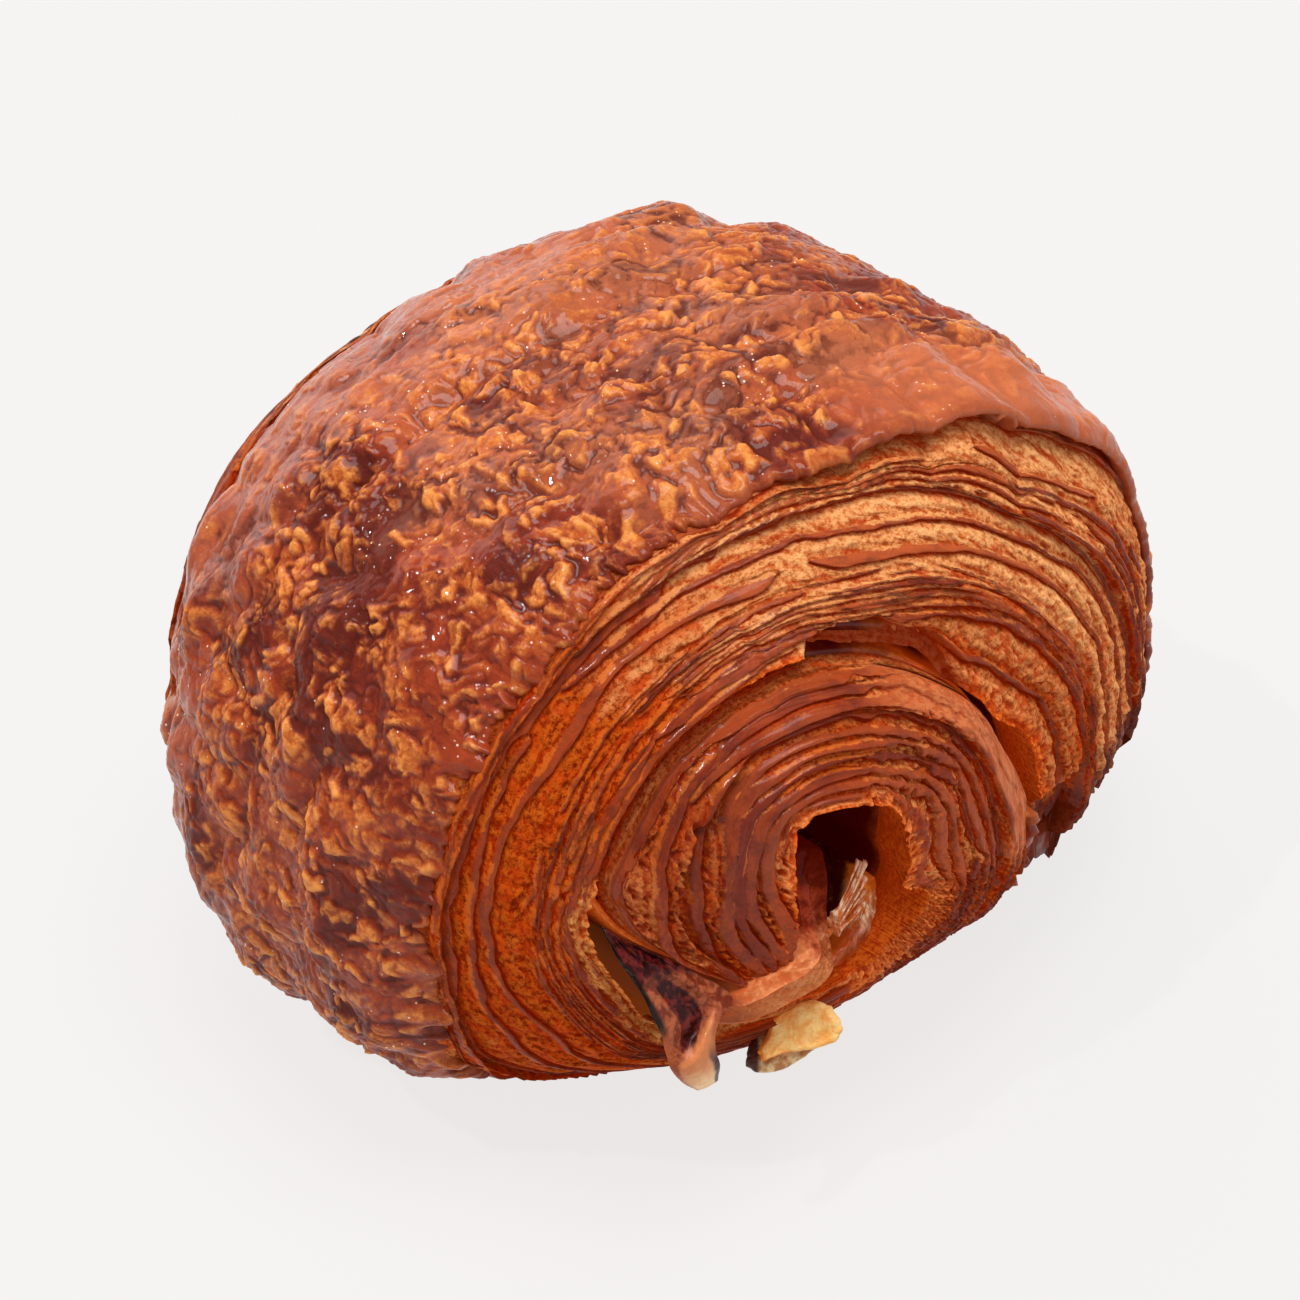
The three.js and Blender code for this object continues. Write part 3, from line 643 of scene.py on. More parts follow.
def endPlaces(rows, n, along, front):
    # where each special place of an end lies, 0 to 1: each is a range of angles times a range of layers
    second = smoothStep(*layers["secondTurn"], rows)
    first = 1 - second
    shoulder = second * smoothStep(14.2, 15.4, n + noise(along / 5, 3.0)) * smoothStep(442, 420, rows)  # smooth
    crescent = smoothStep(503, 522, rows) * smoothStep(14.8, 16.6, n + noise(along / 2, 8.0))  # under the tongue
    innermost = n + 0.8 * noise(along / 2, 5.0) + smoothStep(470, 490, rows)
    lining = second * smoothStep(2.0, 1.0, innermost)  # beside the hollow
    under = first * smoothStep(250, 264, rows) * smoothStep(5.2, 3.2, n + 1.4 * noise(along / 3, 2.0))
    pocket = recessAt(rows)
    recess = first * smoothStep(0.0, 0.3, pocket)
    recess = recess * smoothStep(pocket + 0.2, pocket - 0.3, n + 0.25 * noise(along / 3, 1.0))
    gapAngle, gapWidth = layers["gap"]
    gap = smoothStep(2.8, 1.0, n) * np.exp(-((rows - gapAngle) / gapWidth) ** 2) * front
    wall = smoothStep(2.6, 1.2, n + noise(along / 3, 4.0)) * window(rows, *layers["gapWall"]) * front
    return first, second, shoulder, crescent, lining, under, recess, gap, np.maximum(gap, 0.5 * wall)


def endPiece(name, low, high, side, spacing, columns):
    # crumb between baked ribbons that stand out of it, each with a groove along its inner side; side is -1 at the
    # front and 1 at the back
    over = [layers["overlap"] * (low > roll["tailAngle"]), layers["overlap"] * (high < roll["tongueAngle"])]
    angle = anglesFor(low - over[0], high + over[1], spacing)
    rows = angle[:, None]
    sunk = layers["sink"] * clamp(np.maximum(low - rows, rows - high) / layers["overlap"]) ** 2.5
    share = np.linspace(0, 1, columns)[None]
    n = layerAt(share, rows)
    thickness = (outerAt(rows) - innerAt(rows)) * outlineRadius(rows)
    depth = share * thickness  # mm across the strip
    along = np.radians(rows) * outlineRadius(rows) * 0.8  # mm along the strip
    front, back = side < 0, side > 0

    ribbon, dome, groove, rim, tone, clear = ribbonField(rows, along, depth, thickness)
    crumb = smoothStep(0.3, 1.0, clear)  # between the ribbons
    first, second, shoulder, crescent, lining, under, recess, gap, pale = endPlaces(rows, n, along, front)
    bare = np.maximum(np.maximum(lining, under), np.maximum(pale, recess))
    ribbon, dome, groove, rim = (mask * (1 - bare) for mask in (ribbon, dome, groove, rim))

    # fine relief: lumps, pits, grain and fibres of the crumb, ribbons and their grooves
    lumps = np.abs(noise(along / 2.2 + 0.6 * noise(along, depth), depth / 1.3))
    lumps = lumps + 0.6 * np.abs(noise(along / 1.1, depth / 0.8 + 4)) - 0.5
    webbed = np.maximum(smoothStep(466, 484, rows), 0.7 * np.maximum(lining, under))
    webbed = np.maximum(webbed, 0.2 + 0.3 * smoothStep(120, 150, rows))
    acrossCells = depth / 1.05 + 0.4 * noise(along / 1.2, depth + 6)
    near, _, own = cells(along / 1.5 + 0.4 * noise(along / 1.3, depth / 1.3), acrossCells, 4.0)
    pit = smoothStep(0.5, 0.15, near) * smoothStep(0.25, 0.5, own) * webbed * (1 - ribbon)
    grain = rough(along / 0.8, depth / 0.7, 2, 3.0)
    fibre = rough(along / 2.4 + 0.5 * noise(along / 2, depth), depth / 0.42, 3, 8.0)
    height = blend(-0.15 + 0.35 * smoothStep(0, 1.6, clear), layers["ribbonHeight"] * dome, ribbon)
    height = height - layers["grooveDepth"] * groove * (0.8 + 0.5 * noise(along / 5, n)) - layers["pitDepth"] * pit
    height = height + layers["lumpHeight"] * np.maximum(crumb, bare) * lumps * (1 - ribbon) * (1 - 0.5 * lining)
    height = height + layers["grainHeight"] * grain * (1 - 0.7 * ribbon) * (1 - 0.6 * lining)
    height = height + layers["fibreHeight"] * fibre * blend(1 - 0.7 * crumb, 0.6, ribbon)
    tucked = smoothStep(18.2, 19.8, n) * back  # the back's outermost layers lie under the crust's edge
    height = height * (1 - 0.75 * shoulder) * (1 - tucked)

    # steps and ledges along the roll, and the crumb that hangs in over the two openings
    macro = macroAt(n) * (0.8 + 0.4 * noise(rows / 21, n * 0.5)) * clamp(thickness / 14, 0.5, 1)
    macro = macro + 0.5 * noise(rows / 30, n * 0.4)
    macro = macro - layers["shoulderDrop"] * shoulder * smoothStep(16.5, 20, n) ** 2
    macro = macro - layers["recessDepth"] * recess - layers["gapDepth"] * gap * smoothStep(2, 0, n)
    macro = macro - layers["notchDepth"] * front * first * smoothStep(-4, -13, rows) * smoothStep(3.1, 2.1, n)
    crackAngle, wander, step = layers["crack"]
    offCrack = rows - (crackAngle + wander * noise(np.floor(n) * 1.7, 5.0))
    fault = step * smoothStep(0.7, -0.7, offCrack) * smoothStep(1, 2, n) * (1 - smoothStep(9, 11, n)) * front * first
    ragged = noise(along / 0.7, n * 2) * 0.5 + noise(along / 1.9, n * 1.1 + 2)
    lift = 0.25 * clamp(thickness / 20, 0.2, 1) * noise(along / 7, n * 0.6 + 3) + 0.07 * ragged
    lift = lift * smoothStep(0, 1.2, n) * (1 - smoothStep(18.5, 20, n))
    reach, change = layers["hollowReach"]
    hangs = window(rows, *layers["hollowLip"]) * front * (reach + change * noise(along / 2.5, 3.0))
    lift = lift - hangs * smoothStep(3.4, 0, n)
    reach, change = layers["gapReach"]
    hangs = window(rows, *layers["gapLip"]) * front * (reach + change * noise(along / 3, 8.0))
    lift = lift - hangs * smoothStep(3.0, 0, n)

    relief = formRelief(slanted(rows, roll["layers"]), stripPoint(rows, roll["layers"], side)[..., 1])
    crusted = clamp((outerAt(rows) - 0.55) / 0.3)
    carried = smoothStep(12, 20, n) * crusted * relief - 0.7 * smoothStep(18.6, 20, n) - 1.4 * tucked
    points = stripPoint(rows, n, side, lift)
    points = points + outward(points) * carried[..., None]
    points[..., 1] += side * (height + macro + fault - sunk)

    # how far it is baked, with painted shade: most at the left and the tail, least in the crumb that doesn't see the
    # oven
    bakeAndShade = smoothStep(92, 136, rows) * (1 - 0.3 * smoothStep(210, 250, rows)) + smoothStep(30, 5, rows) * 0.4
    bakeAndShade = blend(bakeAndShade, 0.3 + 0.2 * smoothStep(410, 450, rows) + 0.3 * smoothStep(480, 520, rows), second)
    bakeAndShade = bakeAndShade + 0.25 * noise(along / 9, n * 0.35) + 0.35 * (1 - crumb) * (1 - bare)
    bakeAndShade = bakeAndShade + 0.4 * first * smoothStep(12, 7, n) * smoothStep(80, 50, rows)
    toast = smoothStep(*layers["tailToast"], rows + 3 * noise(along / 3, n)) * first  # the tail is baked darkest
    toast = np.maximum(toast, 0.28 * second * smoothStep(0.1, 0.6, noise(rows / 26 + 3, n / 5)))
    toast = np.maximum(toast, 0.52 * window(rows, *layers["toasted"]) * smoothStep(1, 4, n))
    moist = np.maximum(0.6 * bare, smoothStep(0.5, 0.0, n)) * (1 - pale) * (1 - recess) + 0.35 * crescent
    rest = 1 - shoulder
    masks = {
        "edge": np.maximum(ribbon, shoulder), "raised": np.clip((height - blurred(height, 3)) / 0.25, -1.5, 1.5),
        "tone": blend(tone, 0.0, shoulder), "open": np.maximum(crumb * rest, bare),
        "bakeAndShade": clamp(bakeAndShade) * (1 - 0.8 * shoulder) * (1 - 0.45 * np.maximum(bare, crescent)),
        "toast": toast * (1 - bare) * rest * (1 - recess),
        # pale lines along the ribbons' edges, painted highlights
        "rim": rim * smoothStep(-0.5, 0.2, noise(along / 2.2, n * 3)) * rest, "gap": pale, "shoulder": shoulder,
        # grooves, pits and the recess, darkened in the shader as painted shade
        "deepShade": np.maximum(np.maximum(groove, 0.75 * pit) * rest, recess), "moist": moist, "along": along,
        "across": depth,
    }

    # a hidden wall closes the piece behind
    wallN, wallV = np.array(layers["closing"]).T[:, None]
    wallV = side * wallV
    wall = stripPoint(rows, wallN, wallV)
    inset = crusted * smoothStep(12, 20, wallN) * relief - (0.9 + 0.9 * back) * smoothStep(18, 20, wallN)
    wall = wall + outward(wall) * inset[..., None]
    whole = np.concatenate([points, wall], axis=1)
    whole[..., 2] = np.maximum(0.02, whole[..., 2])
    wallMasks = {"bakeAndShade": 0.7, "open": 1.0, "moist": wallN < 1, "along": along, "across": 40 * wallV}
    masks = {key: np.concatenate([np.broadcast_to(value, n.shape),
                                  np.broadcast_to(wallMasks.get(key, 0.0), wall.shape[:2])], axis=1)
             for key, value in masks.items()}
    loopPiece(name, whole, masks, layerMaterial, "pastry_roll")


def cutLayers():
    # granular crumb, pale tan on its crests and saturated orange-red in its hollows, partly as painted shade, between
    # smooth mauve-brown ribbons with pale ragged rims painted as highlights; grooves, pits and recesses painted as
    # shade, and a painted glow in the hollows and moist places
    shade = Shade("cutLayers", Coat_Roughness=0.16, Specular_IOR_Level=0.02, Emission_Strength=1.0)
    edge, raised, tone, deepShade, bakeAndShade = shade.owns("edge", "raised", "tone", "deepShade", "bakeAndShade")
    between, toast, rim, gap, moist = shade.owns("open", "toast", "rim", "gap", "moist")
    middle, fine = shade.grain(2.6, 3, 0.6), shade.grain(0.55, 3, 0.75)
    fibre, lumps = shade.strip(2.6, 0.34, 3, 0.6, 0.4), shade.strip(2.0, 1.0, 3, 0.6, 0.6)
    speckle = (fine + raised * 0.06 + (fibre - 0.5) * (0.5 - between * 0.4)).between(0.32, 0.64)
    crumb = shade.mix(speckle, shade.mix(bakeAndShade, (204, 106, 46), (116, 22, 0)),
                      shade.mix(bakeAndShade, (250, 182, 118), (200, 88, 20)))
    crumb = shade.mix(gap, crumb, shade.mix(speckle, (196, 110, 40), (248, 196, 116)))
    # the crumb's hollows, darker and saturated orange-red, partly as painted shade
    low = ((0.5 - middle) * 1.2 + (0.5 - lumps) * 3.2 - raised * 0.25 - gap * 0.5 + bakeAndShade * 0.3).between(-0.1, 0.7)
    crumb = shade.mix(low * 0.8, crumb, shade.mix(speckle, (140, 34, 4), (188, 66, 12)))
    crumb = shade.mix(moist, crumb, shade.mix(speckle * (1 - low * 0.7), (156, 36, 4), (236, 118, 36)))
    # grooves, pits and recesses darkened as painted shade
    sunk = (deepShade + (0.5 - fine) * 0.5).between(0.25, 0.8)
    crumb = shade.mix(sunk * 0.8, crumb, shade.mix(moist, (108, 20, 2), (140, 28, 0)))
    dull = (tone + (fibre - 0.5) * 2.0 + (fine - 0.5) * 0.9).between(0.15, 0.9)
    baked = shade.mix(dull, (194, 92, 48), (138, 52, 28))
    baked = shade.mix((middle + tone * 0.2).between(0.52, 0.7) * 0.55, baked, (132, 62, 50))
    baked = shade.mix(bakeAndShade * 0.62, baked, (108, 28, 6))
    smooth = shade.mix(fibre.between(0.4, 0.6), (184, 88, 46), (216, 124, 74))
    baked = shade.mix(shade.own("shoulder") * 0.8, baked, smooth)
    face = (edge + (fine - 0.5) * 1.0 + (fibre - 0.5) * 0.7).between(0.36, 0.62)
    colour = shade.mix(face, crumb, baked)
    # the ribbons' pale rims, painted highlights
    lit = (rim + (fine - 0.5) * 1.8 + (fibre - 0.5) * 0.8).between(0.4, 0.9) * 0.85
    colour = shade.mix(lit, colour, shade.mix(bakeAndShade, (246, 180, 112), (204, 96, 26)))
    colour = shade.mix((toast + (middle - 0.5) * 0.5).between(0.25, 0.9) * 0.8, colour, (92, 28, 18))
    # painted glow: emission that stands for light through the dough, in its hollows, grooves and moist places
    glow = shade.mix(low * (1 - toast), (20, 2, 0), (74, 14, 0))
    glow = shade.mix(sunk * (1 - toast), glow, (84, 14, 0))
    glow = shade.mix(moist, glow, (96, 26, 2))
    normal = shade.bump(fine * (1 - face * 0.4) + fibre * 0.7, 0.34, 0.85)
    return shade.wear(Base_Color=colour, Normal=normal, Roughness=0.6 - face * 0.2,
                      Coat_Weight=face * 0.2 + toast * 0.25, Emission_Color=glow)


layerMaterial = cutLayers()
for part, (low, high, side, spacing, columns) in {  # degrees, front or back, share of the spacing, columns
    "front_layers_right": (roll["tailAngle"], 60, -1, 1.0, 150), "front_layers_top": (60, 125, -1, 1.0, 150),
    "front_layers_left": (125, 205, -1, 1.0, 110), "front_layers_base": (205, roll["secondTurn"], -1, 1.2, 130),
    "front_layers_inner": (roll["secondTurn"], roll["tongueAngle"], -1, 0.85, 140),
    "back_layers_outer": (roll["tailAngle"], roll["secondTurn"], 1, 2.4, 100),
    "back_layers_inner": (roll["secondTurn"], roll["tongueAngle"], 1, 2.4, 80),
}.items():
    endPiece(part, low, high, side, layers["spacing"] * spacing, columns)
print("layered ends made")

# The faces inside the roll, and the strip's ends

inside = {
    "spacing": 0.9, "columns": 90, "thickness": 1.0, "sink": 0.4,  # mm, count, mm, mm
    "faceEnd": 0.93, "wallEnd": 0.92,  # how far along the roll the face and the wall behind it go
    "pale": (146, 162, 214, 228),  # degrees, where crumb shows in the gap
    "facingShade": (80, 24, 0.85),  # painted shade where the turns face each other at the top: angle, reach and strength
}


def insidePoints(angle, n, inwards):
    # the strip's face at layer n from the front rim to the back, with a second wall behind it in the dough; its
    # relief is two sizes of noise, and its rims lie under the layered ends
    rows = angle[:, None]
    faceV = np.linspace(-inside["faceEnd"], inside["faceEnd"], inside["columns"])
    wallV = np.linspace(inside["wallEnd"], -inside["wallEnd"], 7)
    v = np.concatenate([faceV, wallV])[None]
    depth = np.concatenate([0 * faceV, np.full(len(wallV), inside["thickness"])])[None]
    base = stripPoint(rows, n, v)
    a, y = np.radians(rows) * 20, base[..., 1]
    relief = 0.25 * rough(a / 3.1, y / 4.0, 3, 2.0) + 0.12 * rough(a / 0.9, y / 1.2, 2, 5.0)
    radial = base - np.array([roll["core"][0], 0, roll["core"][1]])
    radial[..., 1] = 0
    radial = radial / np.linalg.norm(radial, axis=-1, keepdims=True)
    sunk = inside["sink"] * smoothStep(0.82, 0.9, np.abs(v))
    relief = relief * smoothStep(0.93, 0.8, np.abs(v)) * (depth == 0)
    points = base + radial * ((depth + sunk - relief) * inwards)[..., None]
    darkAngle, darkReach, darkness = inside["facingShade"]
    dim = darkness * np.exp(-((rows % 360 - darkAngle) / darkReach) ** 2)
    # darker further in and where the turns face each other: painted shade
    masks = {"deepShade": np.maximum(smoothStep(0.94, 0.8, np.abs(v)), dim),
             "wet": clamp(0.5 + rough(a / 4, y / 6, 3, 9.0)),
             "pale": window(rows, *inside["pale"]) * smoothStep(-0.5, -0.82, v)}
    return points, masks


def moistDough():
    # moist inner face: orange and oily near the open end, dark red-brown further in as painted shade, with a painted
    # glow that fades inwards
    shade = Shade("moistDough", Coat_Roughness=0.2, Coat_Weight=0.3, Specular_IOR_Level=0.15, Emission_Strength=1.0)
    deepShade, wet, pale = shade.owns("deepShade", "wet", "pale")
    fine, middle = shade.grain(0.6, 4, 0.65), shade.grain(2.2, 3)
    near = shade.mix(fine.between(0.35, 0.65), (206, 90, 20), (240, 142, 50))
    colour = shade.mix((wet * 0.8 + (middle - 0.5)).between(0.3, 0.8), near, (190, 66, 12))
    # painted shade further into the roll
    inner = (deepShade + (middle - 0.5) * 0.5).between(0.1, 0.9)
    colour = shade.mix(inner, colour, (84, 12, 4))
    glow = shade.mix(inner, (110, 36, 4), (28, 0, 0))
    colour = shade.mix(pale * 0.3, colour, shade.mix(fine.between(0.35, 0.65), (216, 130, 52), (246, 204, 130)))
    # painted glow on the pale crumb
    glow = shade.mix(pale * 0.3, glow, (150, 78, 26))
    normal = shade.bump(fine + middle * 0.5, 0.25, 0.6)
    return shade.wear(Base_Color=colour, Normal=normal, Roughness=0.42 + (fine - 0.5) * 0.2, Emission_Color=glow)


moistMaterial = moistDough()
for part, (low, high, n, inwards) in {  # degrees, layer, and 1 where the dough lies further from the core
    "inner_face_outer_turn": (roll["tailAngle"] + 0.5, roll["secondTurn"], 0, 1),
    "inner_face_hollow": (roll["secondTurn"], roll["tongueAngle"] - 0.5, 0, 1),
    "second_turn_back": (345, roll["tongueAngle"] - 0.5, roll["layers"], -1),
}.items():
    angle = anglesFor(low, high, inside["spacing"])
    points, masks = insidePoints(angle, n, inwards)
    loopPiece(part, points, masks, moistMaterial, "pastry_roll")


def stripEnd(name, angle, beyond, tip, toast):
    # the cut across the strip: layers in lines along the roll, each a rounded rib |sin pi n|^0.5, as a thin closed
    # slab; its front corner is drawn out by tip
    rows, columns = np.linspace(0.25, 19.75, 157)[:, None], np.linspace(-0.985, 0.985, 90)[None]
    coarse = columns[:, ::15]  # the slab's hidden side needs few columns
    rib = np.abs(np.sin(np.pi * rows)) ** 0.5
    ragged = 0.35 * noise(rows * 1.3, columns * 20) + 0.2 * rough(rows * 3, columns * 45, 2, 4.0)
    drawn = tip * smoothStep(-0.7, -0.97, columns) * np.exp(-((rows - 4) / 1.9) ** 2)
    out = beyond * (0.35 + 0.55 * rib + ragged) + drawn
    a = math.radians(angle)
    onwards = np.array([-math.sin(a), 0, math.cos(a)])
    face = stripPoint(angle, rows, columns) + onwards * out[..., None]
    behind = stripPoint(angle, rows, coarse * 0.97)[:, ::-1] - onwards * beyond
    points = np.concatenate([face, behind], axis=1)
    points[..., 2] = np.maximum(0.02, points[..., 2])
    crest = np.concatenate([np.broadcast_to(rib, face.shape[:2]), np.zeros(behind.shape[:2])], axis=1)
    masks = {"edge": crest > 0.7, "raised": crest * 1.6 - 1.2, "bakeAndShade": 0.8, "open": 0.2, "toast": toast,
             "tone": 0.5 + 0.5 * hashed(np.floor(rows), 3.0), "rim": 0, "gap": 0, "deepShade": 0, "moist": 0,
             "shoulder": 0, "along": 30 * np.concatenate([columns, coarse[:, ::-1]], axis=1), "across": rows * 0.7}
    loopPiece(name, points, masks, layerMaterial, "pastry_roll")


stripEnd("tail_end", roll["tailAngle"] + 0.2, -1.5, -2.6, 0.9)
stripEnd("tongue_end", roll["tongueAngle"] - 0.2, 1, 0, 0.1)
print("inner faces and strip ends made")

# The filling

ham = {  # its path across the roll in mm, and its reach to the front, at shares of the path, and to the back
    "path": [(-11.6, 36), (-13.4, 33), (-16.4, 30.5), (-20, 28.6), (-23.6, 27.5), (-27.2, 26.4), (-30.2, 27)],
    "front": [(0, 0.86), (0.15, 0.9), (0.32, 0.97), (0.45, 1.04), (0.8, 1.04), (1, 0.99)], "back": 0.99,
    "thickness": 5.6, "bumpiness": 0.18,
}
cheese = {
    "path": [(-15.4, 25.4), (-12.6, 25.2), (-9.8, 26.1), (-7.6, 27.9), (-6.4, 30.4)],
    "front": [(0, 0.975), (0.4, 0.96), (1, 0.9)], "back": 0.95, "thickness": 1.9, "bumpiness": 0.3,
}


def smoothPath(path, samples=200):
    # Catmull-Rom through the points, then even steps of arc length; returns functions of 0 to 1
    p = np.array(path, float)
    p = np.vstack([2 * p[0] - p[1], p, 2 * p[-1] - p[-2]])
    out = []
    for k in range(1, len(p) - 2):
        t = np.linspace(0, 1, samples)[:, None]
        a, b, c, d = p[k - 1:k + 3]
        bend, twist = 2 * a - 5 * b + 4 * c - d, 3 * b - a - 3 * c + d
        out.append(0.5 * (2 * b + (c - a) * t + bend * t ** 2 + twist * t ** 3))
    line = np.vstack(out)
    length = np.concatenate([[0], np.cumsum(np.linalg.norm(np.diff(line, axis=0), axis=1))])
    length /= length[-1]
    return lambda s: np.stack([np.interp(s, length, line[:, k]) for k in range(p.shape[1])], -1)


def slicePiece(name, shape, material, node):
    # a rounded slab: offset = thickness/2 |sin u|^0.35 on both sides of the path, carried along the roll
    around, along = 130, 150
    at = smoothPath(shape["path"])
    u = np.linspace(0, 2 * np.pi, around, endpoint=False)[None]
    run = np.concatenate([-1 + 0.12 * np.linspace(0, 1, 50) ** 1.5, np.linspace(-0.86, 1, along - 50)])[:, None]
    s = (1 - np.cos(u)) / 2
    share = curveThrough(shape["front"])(s)
    frontWave = 0.006 * rough(s * 14, 3.0, 3, 1.0)
    v = run * np.where(run < 0, share + frontWave, shape["back"])
    centre, step = at(s[0]), at(clamp(s[0] + 1e-3)) - at(clamp(s[0] - 1e-3))
    step /= np.linalg.norm(step, axis=1, keepdims=True)
    off = shape["thickness"] / 2 * np.sign(np.sin(u)) * np.abs(np.sin(u)) ** 0.35
    closeness = smoothStep(0, 0.02, 1 + run)  # the front edge is rounded
    bumps = 0.5 + 0.5 * rough(s * 8 + 2 * np.sign(off), run * 12, 3, 2.0)
    off = off * (0.55 + 0.45 * closeness) * (1 - shape["bumpiness"] * bumps)
    x = centre[None, :, 0] - step[None, :, 1] * off
    z = centre[None, :, 1] + step[None, :, 0] * off
    points = placed(x, z, v)
    masks = {"along": s, "front": smoothStep(-0.9, -1.0, run), "side": 0.5 + 0.5 * np.sin(u)}
    loopPiece(name, points, masks, material, node)


def curedHam():
    # pink meat, red and clear towards the hollow, browned towards the gap; darker in the hollow and back from the
    # front edge as painted shade
    shade = Shade("curedHam", Coat_Weight=0.08, Coat_Roughness=0.15, Specular_IOR_Level=0.05, Emission_Strength=1.0)
    along, front, side = shade.owns("along", "front", "side")
    fine, middle = shade.grain(0.5, 3), shade.grain(2.0, 4, 0.6, stretch=(1, 1, 1.8))
    meat = shade.mix(middle.between(0.36, 0.64), (194, 92, 46), (224, 136, 84))
    meat = shade.mix((fine * 0.6 + middle * 0.4).between(0.5, 0.64) * 0.5, meat, (240, 172, 120))
    # red towards the hollow, and darkened there partly as painted shade
    red = (along + (middle - 0.5) * 0.3 + side * 0.1).between(0.56, 0.3)
    colour = shade.mix(red * 0.9, meat, shade.mix(middle.between(0.4, 0.6), (84, 8, 4), (150, 38, 16)))
    # painted shade in the hollow and back from the front edge
    colour = shade.mix(along.between(0.24, 0.04) * 0.85, colour, (70, 10, 4))
    colour = shade.mix(front.between(0.3, 0.0) * 0.7, colour, (96, 14, 6))
    burnt = (along + (middle - 0.5) * 0.4).between(0.74, 0.92)
    colour = shade.mix(burnt * 0.85, colour, (104, 36, 40))
    glow = shade.mix(side, (50, 16, 2), (110, 52, 22))  # light comes through its underside
    glow = shade.mix(red, glow, (44, 2, 0))
    normal = shade.bump(middle + fine * 0.4, 0.4, 0.7)
    return shade.wear(Base_Color=colour, Normal=normal, Roughness=0.36 + (middle - 0.5) * 0.2, Emission_Color=glow)


def meltedCheese():
    # orange where it is oily against the dough, pale and stringy where it stretches under the hollow; dark back from
    # the front edge as painted shade, with a painted glow at the front
    shade = Shade("meltedCheese", Coat_Weight=0.4, Coat_Roughness=0.15, Specular_IOR_Level=0.3, Emission_Strength=1.0)
    along, front = shade.owns("along", "front")
    fine = shade.grain(0.8, 3)
    strings = shade.grain(1.1, 3, 0.6, stretch=(1, 1, 0.25), distortion=0.5)
    oily = shade.mix(fine.between(0.4, 0.6), (216, 100, 18), (250, 166, 60))
    pulled = shade.mix(strings.between(0.42, 0.58), (204, 112, 48), (255, 234, 196))
    colour = shade.mix(along.between(0.3, 0.5), oily, pulled)
    colour = shade.mix(along.between(0.78, 0.9), colour, oily)
    colour = shade.mix((along - front * 0.3).between(0.42, 0.16) * 0.85, colour, (150, 34, 12))
    # painted shade back from the front edge, and a painted glow at it
    inner = (front + (strings - 0.5) * 0.5).between(0.4, 0.0)
    colour = shade.mix(inner, colour, (72, 10, 4))
    glow = shade.mix(inner, (84, 34, 4), (10, 0, 0))
    normal = shade.bump(strings + fine * 0.3, 0.5, 0.7)
    return shade.wear(Base_Color=colour, Normal=normal, Roughness=0.34 + (fine - 0.5) * 0.2, Emission_Color=glow)


slicePiece("ham_slice_dressed", ham, curedHam(), "ham_slice")
cheeseMaterial = meltedCheese()
slicePiece("cheese_melt_dressed", cheese, cheeseMaterial, "cheese_melt")

threads = {
    "count": 11, "sag": 0.5, "radius": 0.13, "grip": 2.2,  # grip is how much thicker a strand's ends are
    # the middle of the fan at the ham and at the hollow's side, half its height there, and the reach to the front
    "middles": ((-13.7, 29.8), (-7.6, 30.6)), "fan": (1.1, 2.9), "v": (0.945, 0.9),
}


def threadPiece(k):
    # a strand of cheese from the ham to the hollow's right side, thicker where it holds on: its radius grows with
    # |2t - 1|^3 and it sags by 4 t (1 - t)
    t = np.linspace(0, 1, 40)[:, None]
    turn = np.linspace(0, 2 * np.pi, 12, endpoint=False)[None]
    spread = 2 * k / (threads["count"] - 1) - 1
    ends = [(x + 0.5 * hashed(k, seed), z + half * spread + 0.3 * hashed(k, seed + 4))
            for (x, z), half, seed in zip(threads["middles"], threads["fan"], (1.0, 2.0))]
    x, z = (blend(first, last, t) for first, last in zip(*ends))
    z = z - threads["sag"] * (1 + 0.6 * hashed(k, 9.0)) * 4 * t * (1 - t) + 0.12 * noise(t * 6, k * 3.1)
    v = -blend(*threads["v"], t) - 0.02 * hashed(k, 3.0)
    radius = threads["radius"] * (1 + 0.4 * hashed(k, 6.0)) * (1 + threads["grip"] * np.abs(2 * t - 1) ** 3)
    points = placed(x, z + radius * np.sin(turn), v)
    points[..., 1] += radius * np.cos(turn)
    masks = {"along": 0.62, "front": 1}  # pale and stringy, as at the front of the melt
    loopPiece("cheese_thread_" + str(k + 1), points, masks, cheeseMaterial, "cheese_melt")


for k in range(threads["count"]):
    threadPiece(k)
print("filling made")

endView = {  # a frame on the front end: right, up and out of it
    "right": (0.7766, -0.6204, -0.1101), "up": (0.4323, 0.3973, 0.8097), "out": (-0.4585, -0.6763, 0.5766),
}
curl = {  # its two edges from the top down, mm
    "left": [(-37.7, -40.6, 41), (-37.7, -42.8, 37.8), (-37.2, -44.6, 35.2), (-36.7, -46.2, 31.5), (-36.8, -47, 28.8),
             (-36.5, -47.4, 25.6), (-35.2, -47.2, 22.6), (-33.2, -46.8, 20)],
    "right": [(-35.6, -41.2, 38.1), (-31.9, -43.3, 34.5), (-27.1, -46, 29), (-28.1, -47, 28.1), (-30.2, -47.6, 27.3),
              (-31.2, -48, 25.5), (-30.6, -47.6, 22.4), (-30.5, -46.8, 19.6)],
    "thickness": 1.7, "gutter": 1.8, "crumple": 0.9, "tip": 0.9, "ridge": (0.76, 0.13, 0.9),  # place, width, height
    "rows": 150, "around": 120,
}


